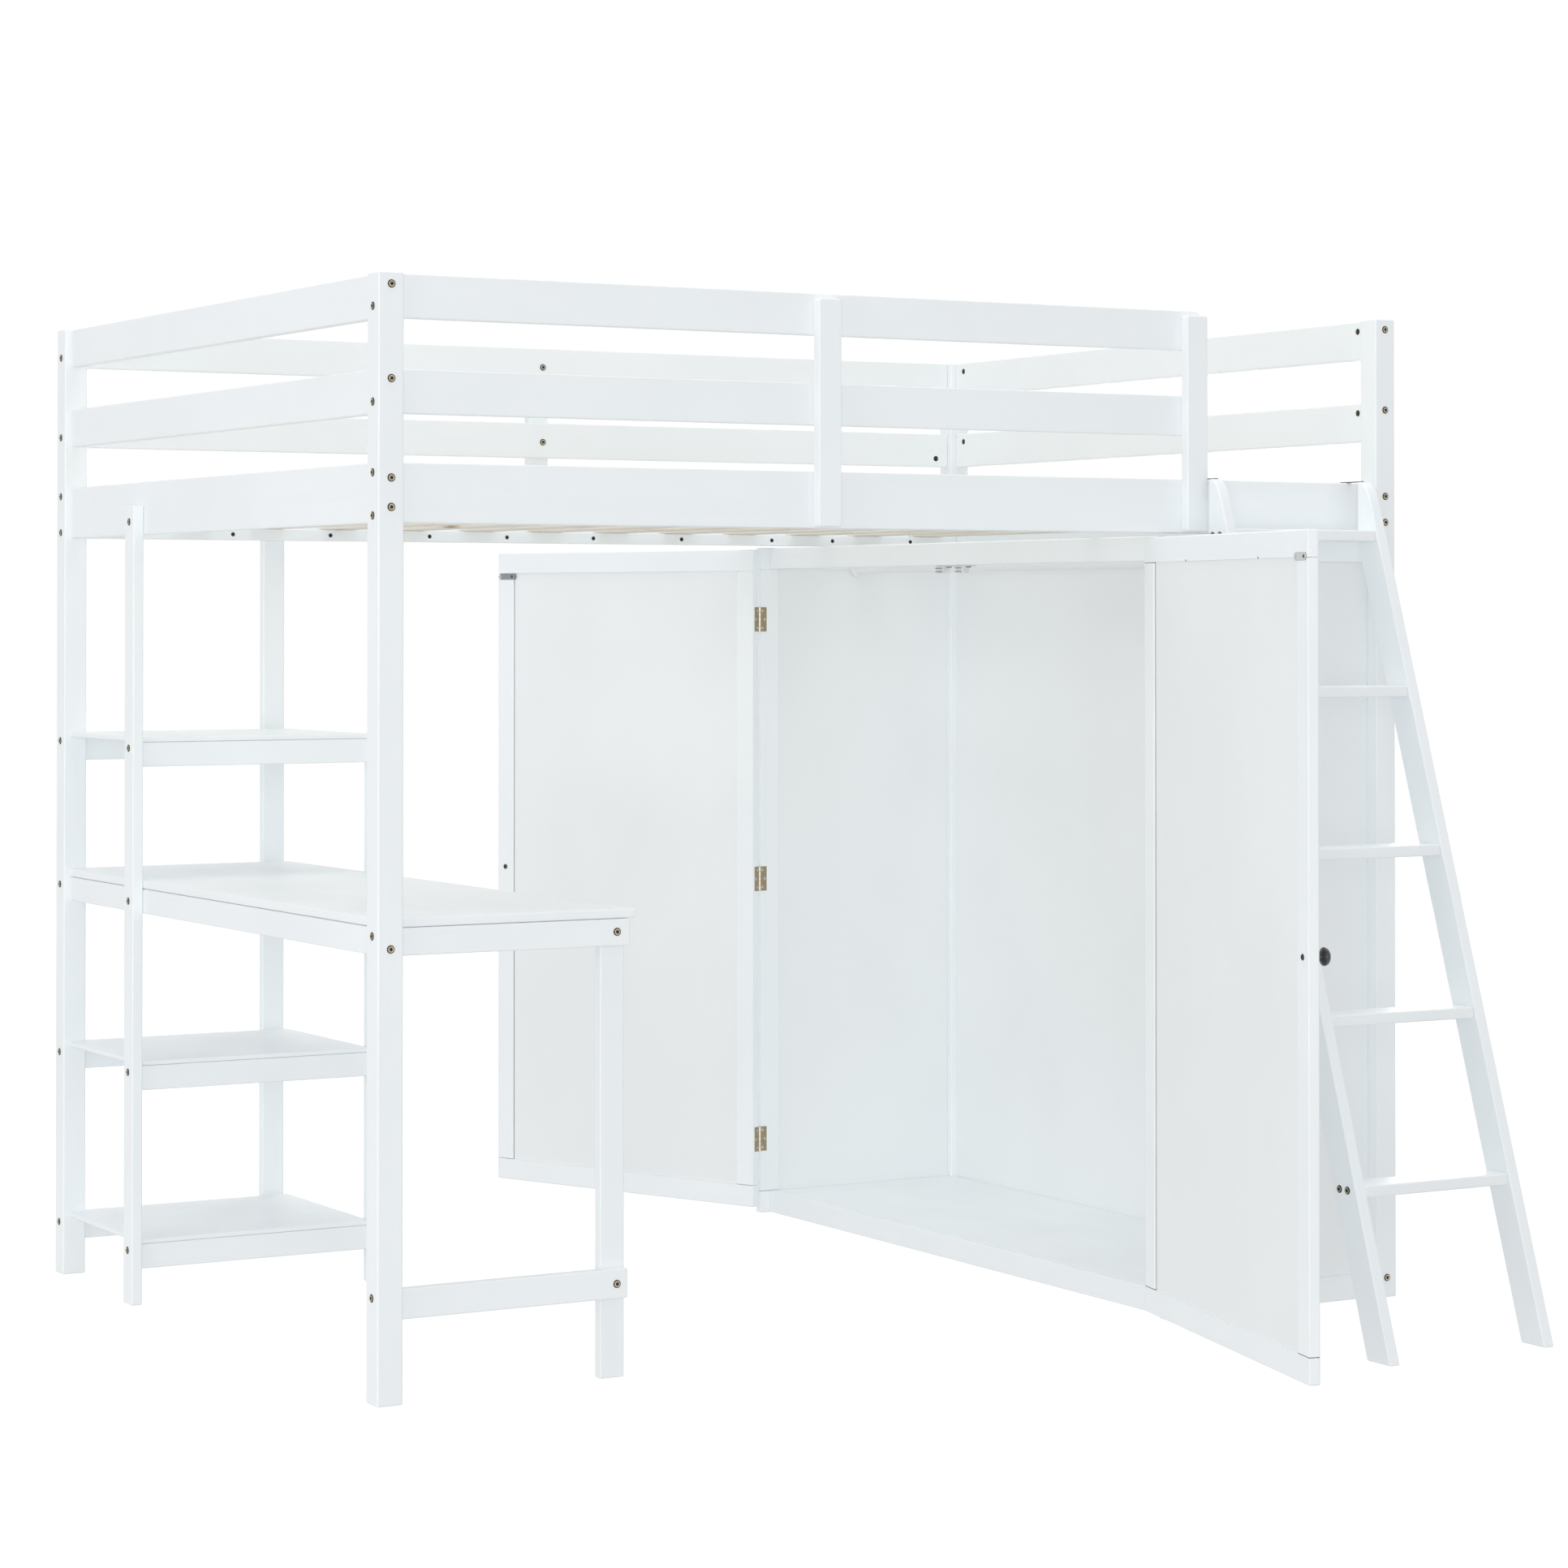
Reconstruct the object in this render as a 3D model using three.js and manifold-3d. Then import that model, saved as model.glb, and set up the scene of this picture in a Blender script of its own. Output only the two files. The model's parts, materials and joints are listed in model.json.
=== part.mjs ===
// Loft bed on four posts, with a desk and an open shelf unit under its left end, a two-door wardrobe
// under its right end, and a ladder that lifts off its front side rail.
// Millimetres, +Z up. While it is built, X runs from the left posts to the right posts, Y from the
// front to the back, and Z = 0 is the floor.
import * as THREE from "three";
import { mergeVertices } from "three/addons/utils/BufferGeometryUtils.js";
import Module from "manifold-3d";

const wasm = await Module();
wasm.setup();

// Driving dimensions
const BED_LENGTH = 2000;
const BED_WIDTH = 1460;
const BED_HEIGHT = 1758;
const POST = 44; // square posts, and the width of every narrow board
const BOARD = 20; // thickness of rails, aprons, frames and doors
const SHELF_THICKNESS = 9;
const PANEL_THICKNESS = 4;
// How far the thin panels of the wardrobe lie behind the inner and the outer face of their frames.
const INNER_RECESS = 3;
const OUTER_RECESS = BOARD - PANEL_THICKNESS - INNER_RECESS;
const CLEARANCE = 0.15; // taken off every face, so that touching pieces keep 0.3 between them

// Heights of the boards in the ends and the sides: [low, high]
const TOP_RAIL_Z = [1687, 1757];
const MIDDLE_RAIL_Z = [1538, 1608];
const SIDE_RAIL_Z = [1368, 1462];
const GUARD_BOARD_Z = [1370, 1748];
const LEDGER_Z = [1368, 1390];

// Planes that the rails lie between, centred on the posts
const SETBACK = (POST - BOARD) / 2;
const FRONT = [SETBACK, SETBACK + BOARD];
const BACK = [BED_WIDTH - SETBACK - BOARD, BED_WIDTH - SETBACK];
const LEFT = [SETBACK, SETBACK + BOARD];
const RIGHT = [BED_LENGTH - SETBACK - BOARD, BED_LENGTH - SETBACK];
const ALONG = [POST, BED_LENGTH - POST]; // between the posts along X
const ACROSS = [POST, BED_WIDTH - POST]; // between the posts along Y
const INSIDE_Y = [FRONT[1], BACK[0]];

// Guard rail opening for the ladder
const GUARD_RAIL_END = 1578;
const GUARD_BOARD_MIDDLE = 811;
const GUARD_BOARD_END = 1557;
const BACK_GUARD_BOARD = 1000;
const CORNER_EASE = 6;
const RAIL_END_EASE = 14;

// Slats
const SLAT_COUNT = 13;
const SLAT_WIDTH = 68;
const SLAT_PITCH = 149;
const SLAT_Z = [1390, 1407];
const STRAP_WIDTH = 24;
const STRAP_THICKNESS = 1.5;
const STRAP_INSET = 230;

// Desk and shelf unit
const DESK_EDGE = 458;
const DESK_TOP_Z = [738.5, 753.5];
const DESK_APRON_Z = [694, 738];
const DESK_APRON_INSET = 10;
const STRETCHER_Z = [130, 178];
const STRETCHER_END = 444;
const SHELF_FRONT = 1050;
const SHELF_BACK = 1436;
const SHELF_TOPS = { lower: 115.5, middle: 432, upper: 1007.5 };
const SHELF_POST_HEIGHT = 1420;
const SHELF_INNER_POST_HEIGHT = 1008;
const SHELF_BACK_POST = 433;
const BACK_APRON_X = [POST, SHELF_BACK_POST + POST / 2];

// Wardrobe
const WARDROBE_FRONT = 1500;
const WARDROBE_HEIGHT = 1364;
const DOOR_STOP_GAP = 2; // from a closed door's inner face to the header and the plinth
const WARDROBE_RAIL = [WARDROBE_FRONT + BOARD + DOOR_STOP_GAP, WARDROBE_FRONT + 2 * BOARD];
const FLOOR_THICKNESS = 12;
const ROD_RADIUS = 14;
const ROD_X = 1735;
const ROD_Z = 1326;

// Doors: angles are how far each stands open from closed, in degrees
const DOOR_WIDTH = 696;
const DOOR_Z = [14, 1360];
const HINGE_OFFSET = 3; // from the hinge pin to the door's outer face
const HINGE_GAP = 1; // from the side frame to the door's hinge edge
const FRONT_DOOR_OPEN = 166.2;
const BACK_DOOR_OPEN = 157.5;
const KNOB_Z = 685;

// Ladder
const LADDER_X = [1567, 1917];
const LADDER_STILE = 22;
const LADDER_DEPTH = 60; // of a stile, measured level
const LADDER_FOOT = -517; // the stiles' front edge at the floor
const LADDER_LEAN = 0.32; // how far back the ladder leans for each unit of height
const LADDER_TOP = 1462;
const LADDER_BACK = -24; // the stiles' back edge is cut upright here, clear of the guard board
const LADDER_TOP_EASE = { back: 4, across: 20, down: 50 };
const TREAD_TOPS = [281, 554.5, 828, 1101.5, 1375];
const TREAD_DEPTH = 70;

const ROUND_SEGMENTS = 32;

const finish = (color, roughness) => () =>
  new THREE.MeshStandardMaterial({ color, roughness, metalness: 0 });
const painted = finish(0xf3f5f6, 0.42);
const barePine = finish(0xe6d2ac, 0.75);
const enamelled = finish(0xf0f2f3, 0.3);
const blackPlastic = finish(0x15171a, 0.35);

// ---- Shapes ----

const around = (middle, width) => [middle - width / 2, middle + width / 2];

// A box between two planes on each axis.
function box(x, y, z) {
  const size = [x, y, z].map(([low, high]) => high - low);
  const middle = [x, y, z].map(([low, high]) => (low + high) / 2);
  return new THREE.BoxGeometry(...size).translate(...middle);
}

// The same box with the fitting clearance taken off every side.
function fitted(x, y, z) {
  const inner = [x, y, z].map(([low, high]) => [low + CLEARANCE, high - CLEARANCE]);
  return box(...inner);
}

// The same box made larger by the clearance, for cutting a notch round another piece.
function clearing(x, y, z) {
  const outer = [x, y, z].map(([low, high]) => [low - CLEARANCE, high + CLEARANCE]);
  return box(...outer);
}

function toSolid(geometry) {
  const bare = geometry.clone();
  bare.deleteAttribute("normal");
  bare.deleteAttribute("uv");
  const merged = mergeVertices(bare);
  const mesh = new wasm.Mesh({
    numProp: 3,
    vertProperties: merged.attributes.position.array,
    triVerts: new Uint32Array(merged.index.array),
  });
  return new wasm.Manifold(mesh);
}

function toGeometry(solid) {
  const { vertProperties, triVerts } = solid.getMesh();
  const geometry = new THREE.BufferGeometry();
  geometry.setAttribute("position", new THREE.BufferAttribute(vertProperties, 3));
  geometry.setIndex(new THREE.BufferAttribute(triVerts, 1));
  geometry.computeVertexNormals();
  return geometry;
}

const cut = (base, ...cutters) =>
  toGeometry(cutters.reduce((solid, cutter) => solid.subtract(toSolid(cutter)), toSolid(base)));

const join = (base, ...others) =>
  toGeometry(others.reduce((solid, other) => solid.add(toSolid(other)), toSolid(base)));

// A closed outline through corners given as [x, y, easeIn, easeOut]: a corner's curve starts easeIn
// before it and ends easeOut after it, which is the same where it isn't given, and a corner with
// neither stays sharp.
function easedOutline(corners) {
  const shape = new THREE.Shape();
  corners.forEach(([x, y, easeIn = 0, easeOut = easeIn], i) => {
    const corner = new THREE.Vector2(x, y);
    const [beforeX, beforeY] = corners.at(i - 1);
    const [afterX, afterY] = corners[(i + 1) % corners.length];
    const start = new THREE.Vector2(beforeX, beforeY).sub(corner).setLength(easeIn).add(corner);
    const end = new THREE.Vector2(afterX, afterY).sub(corner).setLength(easeOut).add(corner);
    if (i === 0) shape.moveTo(start.x, start.y);
    else shape.lineTo(start.x, start.y);
    if (easeIn > 0) shape.quadraticCurveTo(x, y, end.x, end.y);
  });
  shape.closePath();
  return shape;
}

const extruded = (outline, depth) =>
  new THREE.ExtrudeGeometry(outline, { depth, bevelEnabled: false, curveSegments: 8 });

// A board whose face is parallel to the front of the bed, with the given ease on its left and right
// corners.
function facingBoard(x, y, z, leftEase, rightEase) {
  const [x0, x1] = [x[0] + CLEARANCE, x[1] - CLEARANCE];
  const [z0, z1] = [z[0] + CLEARANCE, z[1] - CLEARANCE];
  const outline = easedOutline([
    [x0, z0, leftEase],
    [x1, z0, rightEase],
    [x1, z1, rightEase],
    [x0, z1, leftEase],
  ]);
  const thickness = y[1] - y[0] - 2 * CLEARANCE;
  return extruded(outline, thickness).rotateX(Math.PI / 2).translate(0, y[1] - CLEARANCE, 0);
}

// A frame-and-panel board: rails along its top and bottom, a stile at each end whose width isn't 0,
// and a thin panel between them, nearRecess behind the frame's face at Y = 0. It lies in the XZ
// plane with its corner at the origin, and runs along +X and +Z.
function framedPanel(length, height, startStile, endStile, nearRecess) {
  const overrun = 1;
  const x = [startStile || -overrun, endStile ? length - endStile : length + overrun];
  const z = [POST, height - POST];
  return cut(
    fitted([0, length], [0, BOARD], [0, height]),
    box(x, [-overrun, nearRecess], z),
    box(x, [nearRecess + PANEL_THICKNESS, BOARD + overrun], z),
  );
}

// ---- Assembly ----

const bed = new THREE.Group();

// Adds a piece whose geometry is given in its parent's coordinates, and puts the mesh's own origin
// at the middle of the piece.
function add(name, material, geometry, parent = bed) {
  geometry.computeBoundingBox();
  const middle = geometry.boundingBox.getCenter(new THREE.Vector3());
  const mesh = new THREE.Mesh(geometry.translate(-middle.x, -middle.y, -middle.z), material());
  mesh.name = name;
  mesh.position.copy(middle);
  parent.add(mesh);
}

const LEFT_POST = [0, POST];
const RIGHT_POST = [BED_LENGTH - POST, BED_LENGTH];
const FRONT_POST = [0, POST];
const BACK_POST = [BED_WIDTH - POST, BED_WIDTH];

function addPosts() {
  for (const [depth, y] of [["front", FRONT_POST], ["back", BACK_POST]]) {
    add(`post_${depth}_left`, painted, fitted(LEFT_POST, y, [0, BED_HEIGHT]));
    add(`post_${depth}_right`, painted, fitted(RIGHT_POST, y, [0, BED_HEIGHT]));
  }
}

function addRails() {
  const heights = { top: TOP_RAIL_Z, middle: MIDDLE_RAIL_Z, bottom: SIDE_RAIL_Z };
  for (const [level, z] of Object.entries(heights)) {
    add(`left_end_rail_${level}`, painted, fitted(LEFT, ACROSS, z));
    add(`right_end_rail_${level}`, painted, fitted(RIGHT, ACROSS, z));
  }
  for (const level of ["top", "middle"]) {
    const front = facingBoard([POST, GUARD_RAIL_END], FRONT, heights[level], 0, RAIL_END_EASE);
    add(`front_guard_rail_${level}`, painted, front);
    add(`back_guard_rail_${level}`, painted, fitted(ALONG, BACK, heights[level]));
  }
  add("front_side_rail", painted, fitted(ALONG, FRONT, SIDE_RAIL_Z));
  add("back_side_rail", painted, fitted(ALONG, BACK, SIDE_RAIL_Z));
}

// Upright boards that tie the guard rails to the side rails, on their outer faces.
function addGuardBoards() {
  const outFront = [FRONT[0] - BOARD, FRONT[0]];
  const outBack = [BACK[1], BACK[1] + BOARD];
  const places = {
    guard_board_front_middle: [GUARD_BOARD_MIDDLE, outFront],
    guard_board_front_end: [GUARD_BOARD_END, outFront],
    guard_board_back: [BACK_GUARD_BOARD, outBack],
  };
  for (const [name, [middle, y]] of Object.entries(places)) {
    const board = facingBoard(around(middle, POST), y, GUARD_BOARD_Z, CORNER_EASE, CORNER_EASE);
    add(name, painted, board);
  }
}

// Slats lie on a ledger along each side rail. Two webbing straps stapled across them make them a roll.
function addMattressBase() {
  add("slat_ledger_front", painted, fitted(ALONG, [FRONT[1], FRONT[1] + BOARD], LEDGER_Z));
  add("slat_ledger_back", painted, fitted(ALONG, [BACK[0] - BOARD, BACK[0]], LEDGER_Z));

  const centres = Array.from(
    { length: SLAT_COUNT },
    (_, i) => BED_LENGTH / 2 + (i - (SLAT_COUNT - 1) / 2) * SLAT_PITCH,
  );
  const slats = centres.map((x) => fitted(around(x, SLAT_WIDTH), INSIDE_Y, SLAT_Z));
  const strapZ = [SLAT_Z[1] - CLEARANCE - STRAP_THICKNESS / 2, SLAT_Z[1] + STRAP_THICKNESS / 2];
  const strapX = [centres[0] - SLAT_WIDTH / 4, centres.at(-1) + SLAT_WIDTH / 4];
  const strapMiddles = [INSIDE_Y[0] + STRAP_INSET, INSIDE_Y[1] - STRAP_INSET];
  const straps = strapMiddles.map((y) => box(strapX, around(y, STRAP_WIDTH), strapZ));
  add("slat_roll", barePine, join(...straps, ...slats));
}

function addDesk() {
  const deskX = [LEFT[0], DESK_EDGE];
  const underX = [POST, DESK_EDGE - DESK_APRON_INSET];
  const legX = [underX[1] - POST, underX[1]];
  const innerY = [FRONT[1], FRONT[1] + BOARD];
  const slab = cut(
    fitted(deskX, [FRONT[0], SHELF_BACK], DESK_TOP_Z),
    clearing(LEFT_POST, FRONT_POST, DESK_TOP_Z),
    clearing(LEFT_POST, BACK_POST, DESK_TOP_Z),
  );
  add("desk_top", painted, slab);
  add("desk_apron_left", painted, fitted(LEFT, ACROSS, DESK_APRON_Z));
  add("desk_apron_front", painted, fitted(underX, FRONT, DESK_APRON_Z));
  const rightX = [underX[1] - BOARD, underX[1]];
  add("desk_apron_right", painted, fitted(rightX, [innerY[1], BACK[0]], DESK_APRON_Z));
  add("desk_apron_back", painted, fitted(BACK_APRON_X, BACK, DESK_APRON_Z));
  add("desk_leg", painted, fitted(legX, innerY, [0, DESK_APRON_Z[1]]));
  add("desk_stretcher", painted, fitted([POST, STRETCHER_END], FRONT, STRETCHER_Z));
}

function addShelfUnit() {
  const frontY = [SHELF_FRONT, SHELF_FRONT + BOARD];
  const frontPostY = around(SHELF_FRONT + BOARD / 2, POST);
  const outerX = [LEFT[0] - BOARD, LEFT[0]];
  const innerX = [DESK_EDGE, DESK_EDGE + BOARD];
  const backX = around(SHELF_BACK_POST, POST);
  const behindY = [BACK[1], BACK[1] + BOARD];
  add("shelf_post_outer", painted, fitted(outerX, frontPostY, [0, SHELF_POST_HEIGHT]));
  add("shelf_post_inner", painted, fitted(innerX, frontPostY, [0, SHELF_INNER_POST_HEIGHT]));
  add("shelf_post_back", painted, fitted(backX, behindY, [0, SHELF_POST_HEIGHT]));

  const shelfX = [LEFT[0], DESK_EDGE];
  for (const [level, top] of Object.entries(SHELF_TOPS)) {
    const boardZ = [top - SHELF_THICKNESS, top];
    const apronZ = [boardZ[0] - POST, boardZ[0]];
    const board = cut(
      fitted(shelfX, [SHELF_FRONT, SHELF_BACK], boardZ),
      clearing(LEFT_POST, BACK_POST, boardZ),
    );
    add(`shelf_board_${level}`, painted, board);
    add(`shelf_apron_front_${level}`, painted, fitted(shelfX, frontY, apronZ));
    add(`shelf_apron_back_${level}`, painted, fitted(BACK_APRON_X, BACK, apronZ));
  }
}

function addWardrobe() {
  const sideLength = ALONG[1] - WARDROBE_FRONT;
  for (const [depth, y, recess] of [["front", FRONT, OUTER_RECESS], ["back", BACK, INNER_RECESS]]) {
    const side = framedPanel(sideLength, WARDROBE_HEIGHT, POST, 0, recess);
    add(`wardrobe_side_${depth}`, painted, side.translate(WARDROBE_FRONT, y[0], 0));
  }
  const end = framedPanel(ACROSS[1] - ACROSS[0], WARDROBE_HEIGHT, 0, 0, OUTER_RECESS);
  end.rotateZ(Math.PI / 2).translate(RIGHT[1], ACROSS[0], 0);
  add("wardrobe_end_panel", painted, end);

  const headerZ = [WARDROBE_HEIGHT - POST, WARDROBE_HEIGHT];
  add("wardrobe_header", painted, fitted(WARDROBE_RAIL, INSIDE_Y, headerZ));
  add("wardrobe_plinth", painted, fitted(WARDROBE_RAIL, INSIDE_Y, [0, POST]));

  const floorZ = [POST - FLOOR_THICKNESS, POST];
  const floor = cut(
    fitted([WARDROBE_RAIL[1], RIGHT[0]], INSIDE_Y, floorZ),
    clearing(RIGHT_POST, FRONT_POST, floorZ),
    clearing(RIGHT_POST, BACK_POST, floorZ),
  );
  add("wardrobe_floor", painted, floor);

  const rodLength = INSIDE_Y[1] - INSIDE_Y[0] - 2 * CLEARANCE;
  const rod = new THREE.CylinderGeometry(ROD_RADIUS, ROD_RADIUS, rodLength, ROUND_SEGMENTS);
  add("clothes_rod", enamelled, rod.translate(ROD_X, BED_WIDTH / 2, ROD_Z));
}

// A mushroom knob that stands out along -X from its foot at the origin.
function knobGeometry() {
  const profile = [
    [0, 0],
    [9, 0],
    [7, 8],
    [13.5, 13],
    [15, 17],
    [13, 22],
    [8, 25],
    [0, 26],
  ].map(([radius, height]) => new THREE.Vector2(radius, height));
  return new THREE.LatheGeometry(profile, ROUND_SEGMENTS).rotateZ(Math.PI / 2);
}

// Adds a door in a group that turns about its hinge pin. The door runs from the pin towards +Y when
// towards is 1 and towards -Y when it is -1, and swings out towards -X.
function addDoor(side, hingeY, towards, openDegrees) {
  const door = new THREE.Group();
  door.position.set(WARDROBE_FRONT - HINGE_OFFSET, hingeY, 0);
  door.rotation.z = towards * THREE.MathUtils.degToRad(openDegrees);
  bed.add(door);

  const edge = towards > 0 ? 0 : -DOOR_WIDTH;
  const leaf = framedPanel(DOOR_WIDTH, DOOR_Z[1] - DOOR_Z[0], POST, POST, INNER_RECESS);
  leaf.rotateZ(Math.PI / 2).translate(HINGE_OFFSET + BOARD, edge, DOOR_Z[0]);
  add(`door_${side}`, painted, leaf, door);

  const knob = knobGeometry();
  knob.translate(HINGE_OFFSET - CLEARANCE, towards * (DOOR_WIDTH - POST / 2), KNOB_Z);
  add(`door_knob_${side}`, blackPlastic, knob, door);
}

function addDoors() {
  addDoor("front", INSIDE_Y[0] + HINGE_GAP, 1, FRONT_DOOR_OPEN);
  addDoor("back", INSIDE_Y[1] - HINGE_GAP, -1, BACK_DOOR_OPEN);
}

const ladderFront = (height) => LADDER_FOOT + LADDER_LEAN * height;

// A stile's outline from the side, standing on the floor and cut upright at its top.
function stileGeometry() {
  const cutStart = (LADDER_BACK - LADDER_FOOT - LADDER_DEPTH) / LADDER_LEAN;
  const outline = easedOutline([
    [ladderFront(CLEARANCE), CLEARANCE],
    [ladderFront(CLEARANCE) + LADDER_DEPTH, CLEARANCE],
    [LADDER_BACK, cutStart],
    [LADDER_BACK, LADDER_TOP, LADDER_TOP_EASE.back],
    [ladderFront(LADDER_TOP), LADDER_TOP, LADDER_TOP_EASE.across, LADDER_TOP_EASE.down],
  ]);
  const thickness = LADDER_STILE - 2 * CLEARANCE;
  return extruded(outline, thickness).rotateX(Math.PI / 2).rotateZ(Math.PI / 2);
}

function addLadder() {
  const ladder = new THREE.Group();
  bed.add(ladder);
  const treadX = [LADDER_X[0] + LADDER_STILE, LADDER_X[1] - LADDER_STILE];
  for (const [side, x] of [["left", LADDER_X[0]], ["right", treadX[1]]]) {
    add(`ladder_stile_${side}`, painted, stileGeometry().translate(x + CLEARANCE, 0, 0), ladder);
  }
  TREAD_TOPS.forEach((top, i) => {
    const treadY = [ladderFront(top), ladderFront(top) + TREAD_DEPTH];
    add(`ladder_tread_${i + 1}`, painted, fitted(treadX, treadY, [top - BOARD, top]), ladder);
  });
}

addPosts();
addRails();
addGuardBoards();
addMattressBase();
addDesk();
addShelfUnit();
addWardrobe();
addDoors();
addLadder();

// The part's origin is on the floor, in the middle of its extent with the doors as they stand.
const loftBed = new THREE.Group();
loftBed.add(bed);
const extent = new THREE.Box3().setFromObject(bed, true);
const centre = extent.getCenter(new THREE.Vector3());
bed.position.set(-centre.x, -centre.y, -extent.min.z);

export default loftBed;
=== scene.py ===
"""Looks of a white loft bed with a desk, a shelf unit, an open wardrobe and a lean-to ladder.

Positions are written in millimetres as on the bed's drawing: X runs to the right from the outer
face of the left posts, Y runs back from the front face of the front posts, and Z is the height
above the floor. at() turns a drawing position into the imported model's frame, in metres.
"""

import json
import math
import zlib

import bmesh
import bpy
from mathutils import Matrix, Vector


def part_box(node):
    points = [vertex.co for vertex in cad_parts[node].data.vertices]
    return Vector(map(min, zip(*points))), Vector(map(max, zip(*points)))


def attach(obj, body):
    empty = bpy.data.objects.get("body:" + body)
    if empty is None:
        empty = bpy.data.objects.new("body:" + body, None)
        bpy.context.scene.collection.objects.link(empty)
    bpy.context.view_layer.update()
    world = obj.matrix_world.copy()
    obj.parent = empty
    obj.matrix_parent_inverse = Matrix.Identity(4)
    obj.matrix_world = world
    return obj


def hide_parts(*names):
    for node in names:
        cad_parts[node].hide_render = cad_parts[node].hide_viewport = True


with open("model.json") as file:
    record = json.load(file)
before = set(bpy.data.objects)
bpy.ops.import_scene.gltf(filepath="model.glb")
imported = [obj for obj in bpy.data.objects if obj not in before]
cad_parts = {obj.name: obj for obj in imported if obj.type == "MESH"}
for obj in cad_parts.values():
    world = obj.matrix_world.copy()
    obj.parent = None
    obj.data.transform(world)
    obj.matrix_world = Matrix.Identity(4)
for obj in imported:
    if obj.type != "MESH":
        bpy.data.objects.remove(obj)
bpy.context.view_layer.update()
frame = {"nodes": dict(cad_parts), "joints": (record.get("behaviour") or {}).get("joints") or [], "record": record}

MM = 0.001
CLEARANCE = 0.15  # the CAD takes this off every face of a board
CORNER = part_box("post_front_left")[0] - Vector((CLEARANCE, CLEARANCE, CLEARANCE)) * MM


def at(x, y, z):
    """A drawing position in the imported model's frame."""
    return CORNER + Vector((x, y, z)) * MM


# ---------------------------------------------------------------- dimensions, in millimetres

BED_LENGTH = 2000
BED_WIDTH = 1460
POST = 44
BOARD = 20
POSTS_X = (22, 1978)  # the middles of the posts
POSTS_Y = (22, 1438)
# The two faces of the boards along each side of the bed: Y at the front and back, X at the ends.
FRONT = (12, 32)
BACK = (1428, 1448)
LEFT = (12, 32)
RIGHT = (1968, 1988)

WARDROBE_FRONT = 1500
WARDROBE_BACK = 1956
WARDROBE_HEIGHT = 1364
PANEL = 4
INNER_RECESS = 3  # how far the thin panels lie behind the inner face of their frames
JOINT_GAPS = (1.1, 0.8)  # between a stile and the rails under and over it
# Gaps beside the thin panel, at the hinge-side stile and at the free one. Wide ones hold
# near-black strips of painted shade.
PANEL_GAPS = {"front": (3.2, 3.2), "back": (0.2, 1.5), "none": (0.2, 0.2)}

DOOR_WIDTH = 696
DOOR_Z = (14, 1360)
DOOR_FACE = 3  # from the hinge pin to the door's outer face
KNOB_Z = 685
HINGE_HEIGHTS = (152, 685, 1217)

SLAT_CENTRES = [106 + 149 * i for i in range(13)]
SLAT_WIDTH = 68
SLAT_Z = (1390, 1407)
STRAP_Y = (262, 1198)

LADDER_FOOT = -517  # Y of the stiles' front edge on the floor
LADDER_LEAN = 0.32  # how far the ladder goes back for each millimetre of height
LADDER_BACK = -24  # Y of the back of the stiles' upper ends
LADDER_LEFT = 1567
LADDER_RIGHT = 1917
TREAD_TOPS = (281, 554.5, 828, 1101.5, 1375)


# ---------------------------------------------------------------- materials


class Graph:
    """The node tree of one new material, with short ways to add and link its nodes."""

    def __init__(self, name):
        self.material = bpy.data.materials.new(name)
        self.material.use_nodes = True
        self.tree = self.material.node_tree
        self.tree.nodes.clear()

    def add(self, kind, inputs=None, **settings):
        node = self.tree.nodes.new("ShaderNode" + kind)
        for name, value in settings.items():
            setattr(node, name, value)
        for socket, value in (inputs or {}).items():
            if isinstance(value, bpy.types.NodeSocket):
                self.tree.links.new(value, node.inputs[socket])
            else:
                node.inputs[socket].default_value = value
        return node

    def attribute(self, name):
        return self.add("Attribute", attribute_name=name, attribute_type="GEOMETRY")

    def stretched(self, scale):
        """Board coordinates in metres, along the grain first, times a scale for each axis."""
        grain = self.attribute("grain").outputs["Vector"]
        return self.add("VectorMath", {0: grain, 1: scale}, operation="MULTIPLY").outputs[0]

    def noise(self, scale, detail=3.0, roughness=0.55, distortion=0.0):
        inputs = {
            "Vector": self.stretched(scale),
            "Scale": 1.0,
            "Detail": detail,
            "Roughness": roughness,
            "Distortion": distortion,
        }
        return self.add("TexNoise", inputs).outputs["Fac"]

    def remap(self, value, low, high, to_low, to_high):
        inputs = {0: value, 1: low, 2: high, 3: to_low, 4: to_high}
        return self.add("MapRange", inputs).outputs[0]

    def maths(self, operation, a, b):
        return self.add("Math", {0: a, 1: b}, operation=operation).outputs[0]

    def mix(self, factor, a, b, blend="MIX"):
        inputs = {0: factor, 6: a, 7: b}
        node = self.add("Mix", inputs, data_type="RGBA", blend_type=blend)
        return node.outputs[2]

    def bump(self, height, depth, strength=1.0, below=None):
        inputs = {"Height": height, "Distance": depth, "Strength": strength}
        if below is not None:
            inputs["Normal"] = below
        return self.add("Bump", inputs).outputs[0]

    def finish(self, **sockets):
        inputs = {name.replace("_", " "): value for name, value in sockets.items()}
        shader = self.add("BsdfPrincipled", inputs)
        self.add("OutputMaterial", {"Surface": shader.outputs[0]})
        return self.material


def rgb(r, g, b):
    return (r, g, b, 1.0)


def dimmed(colour, share):
    """A share of a colour's light."""
    return tuple(c * share for c in colour[:3]) + (1.0,)


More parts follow.
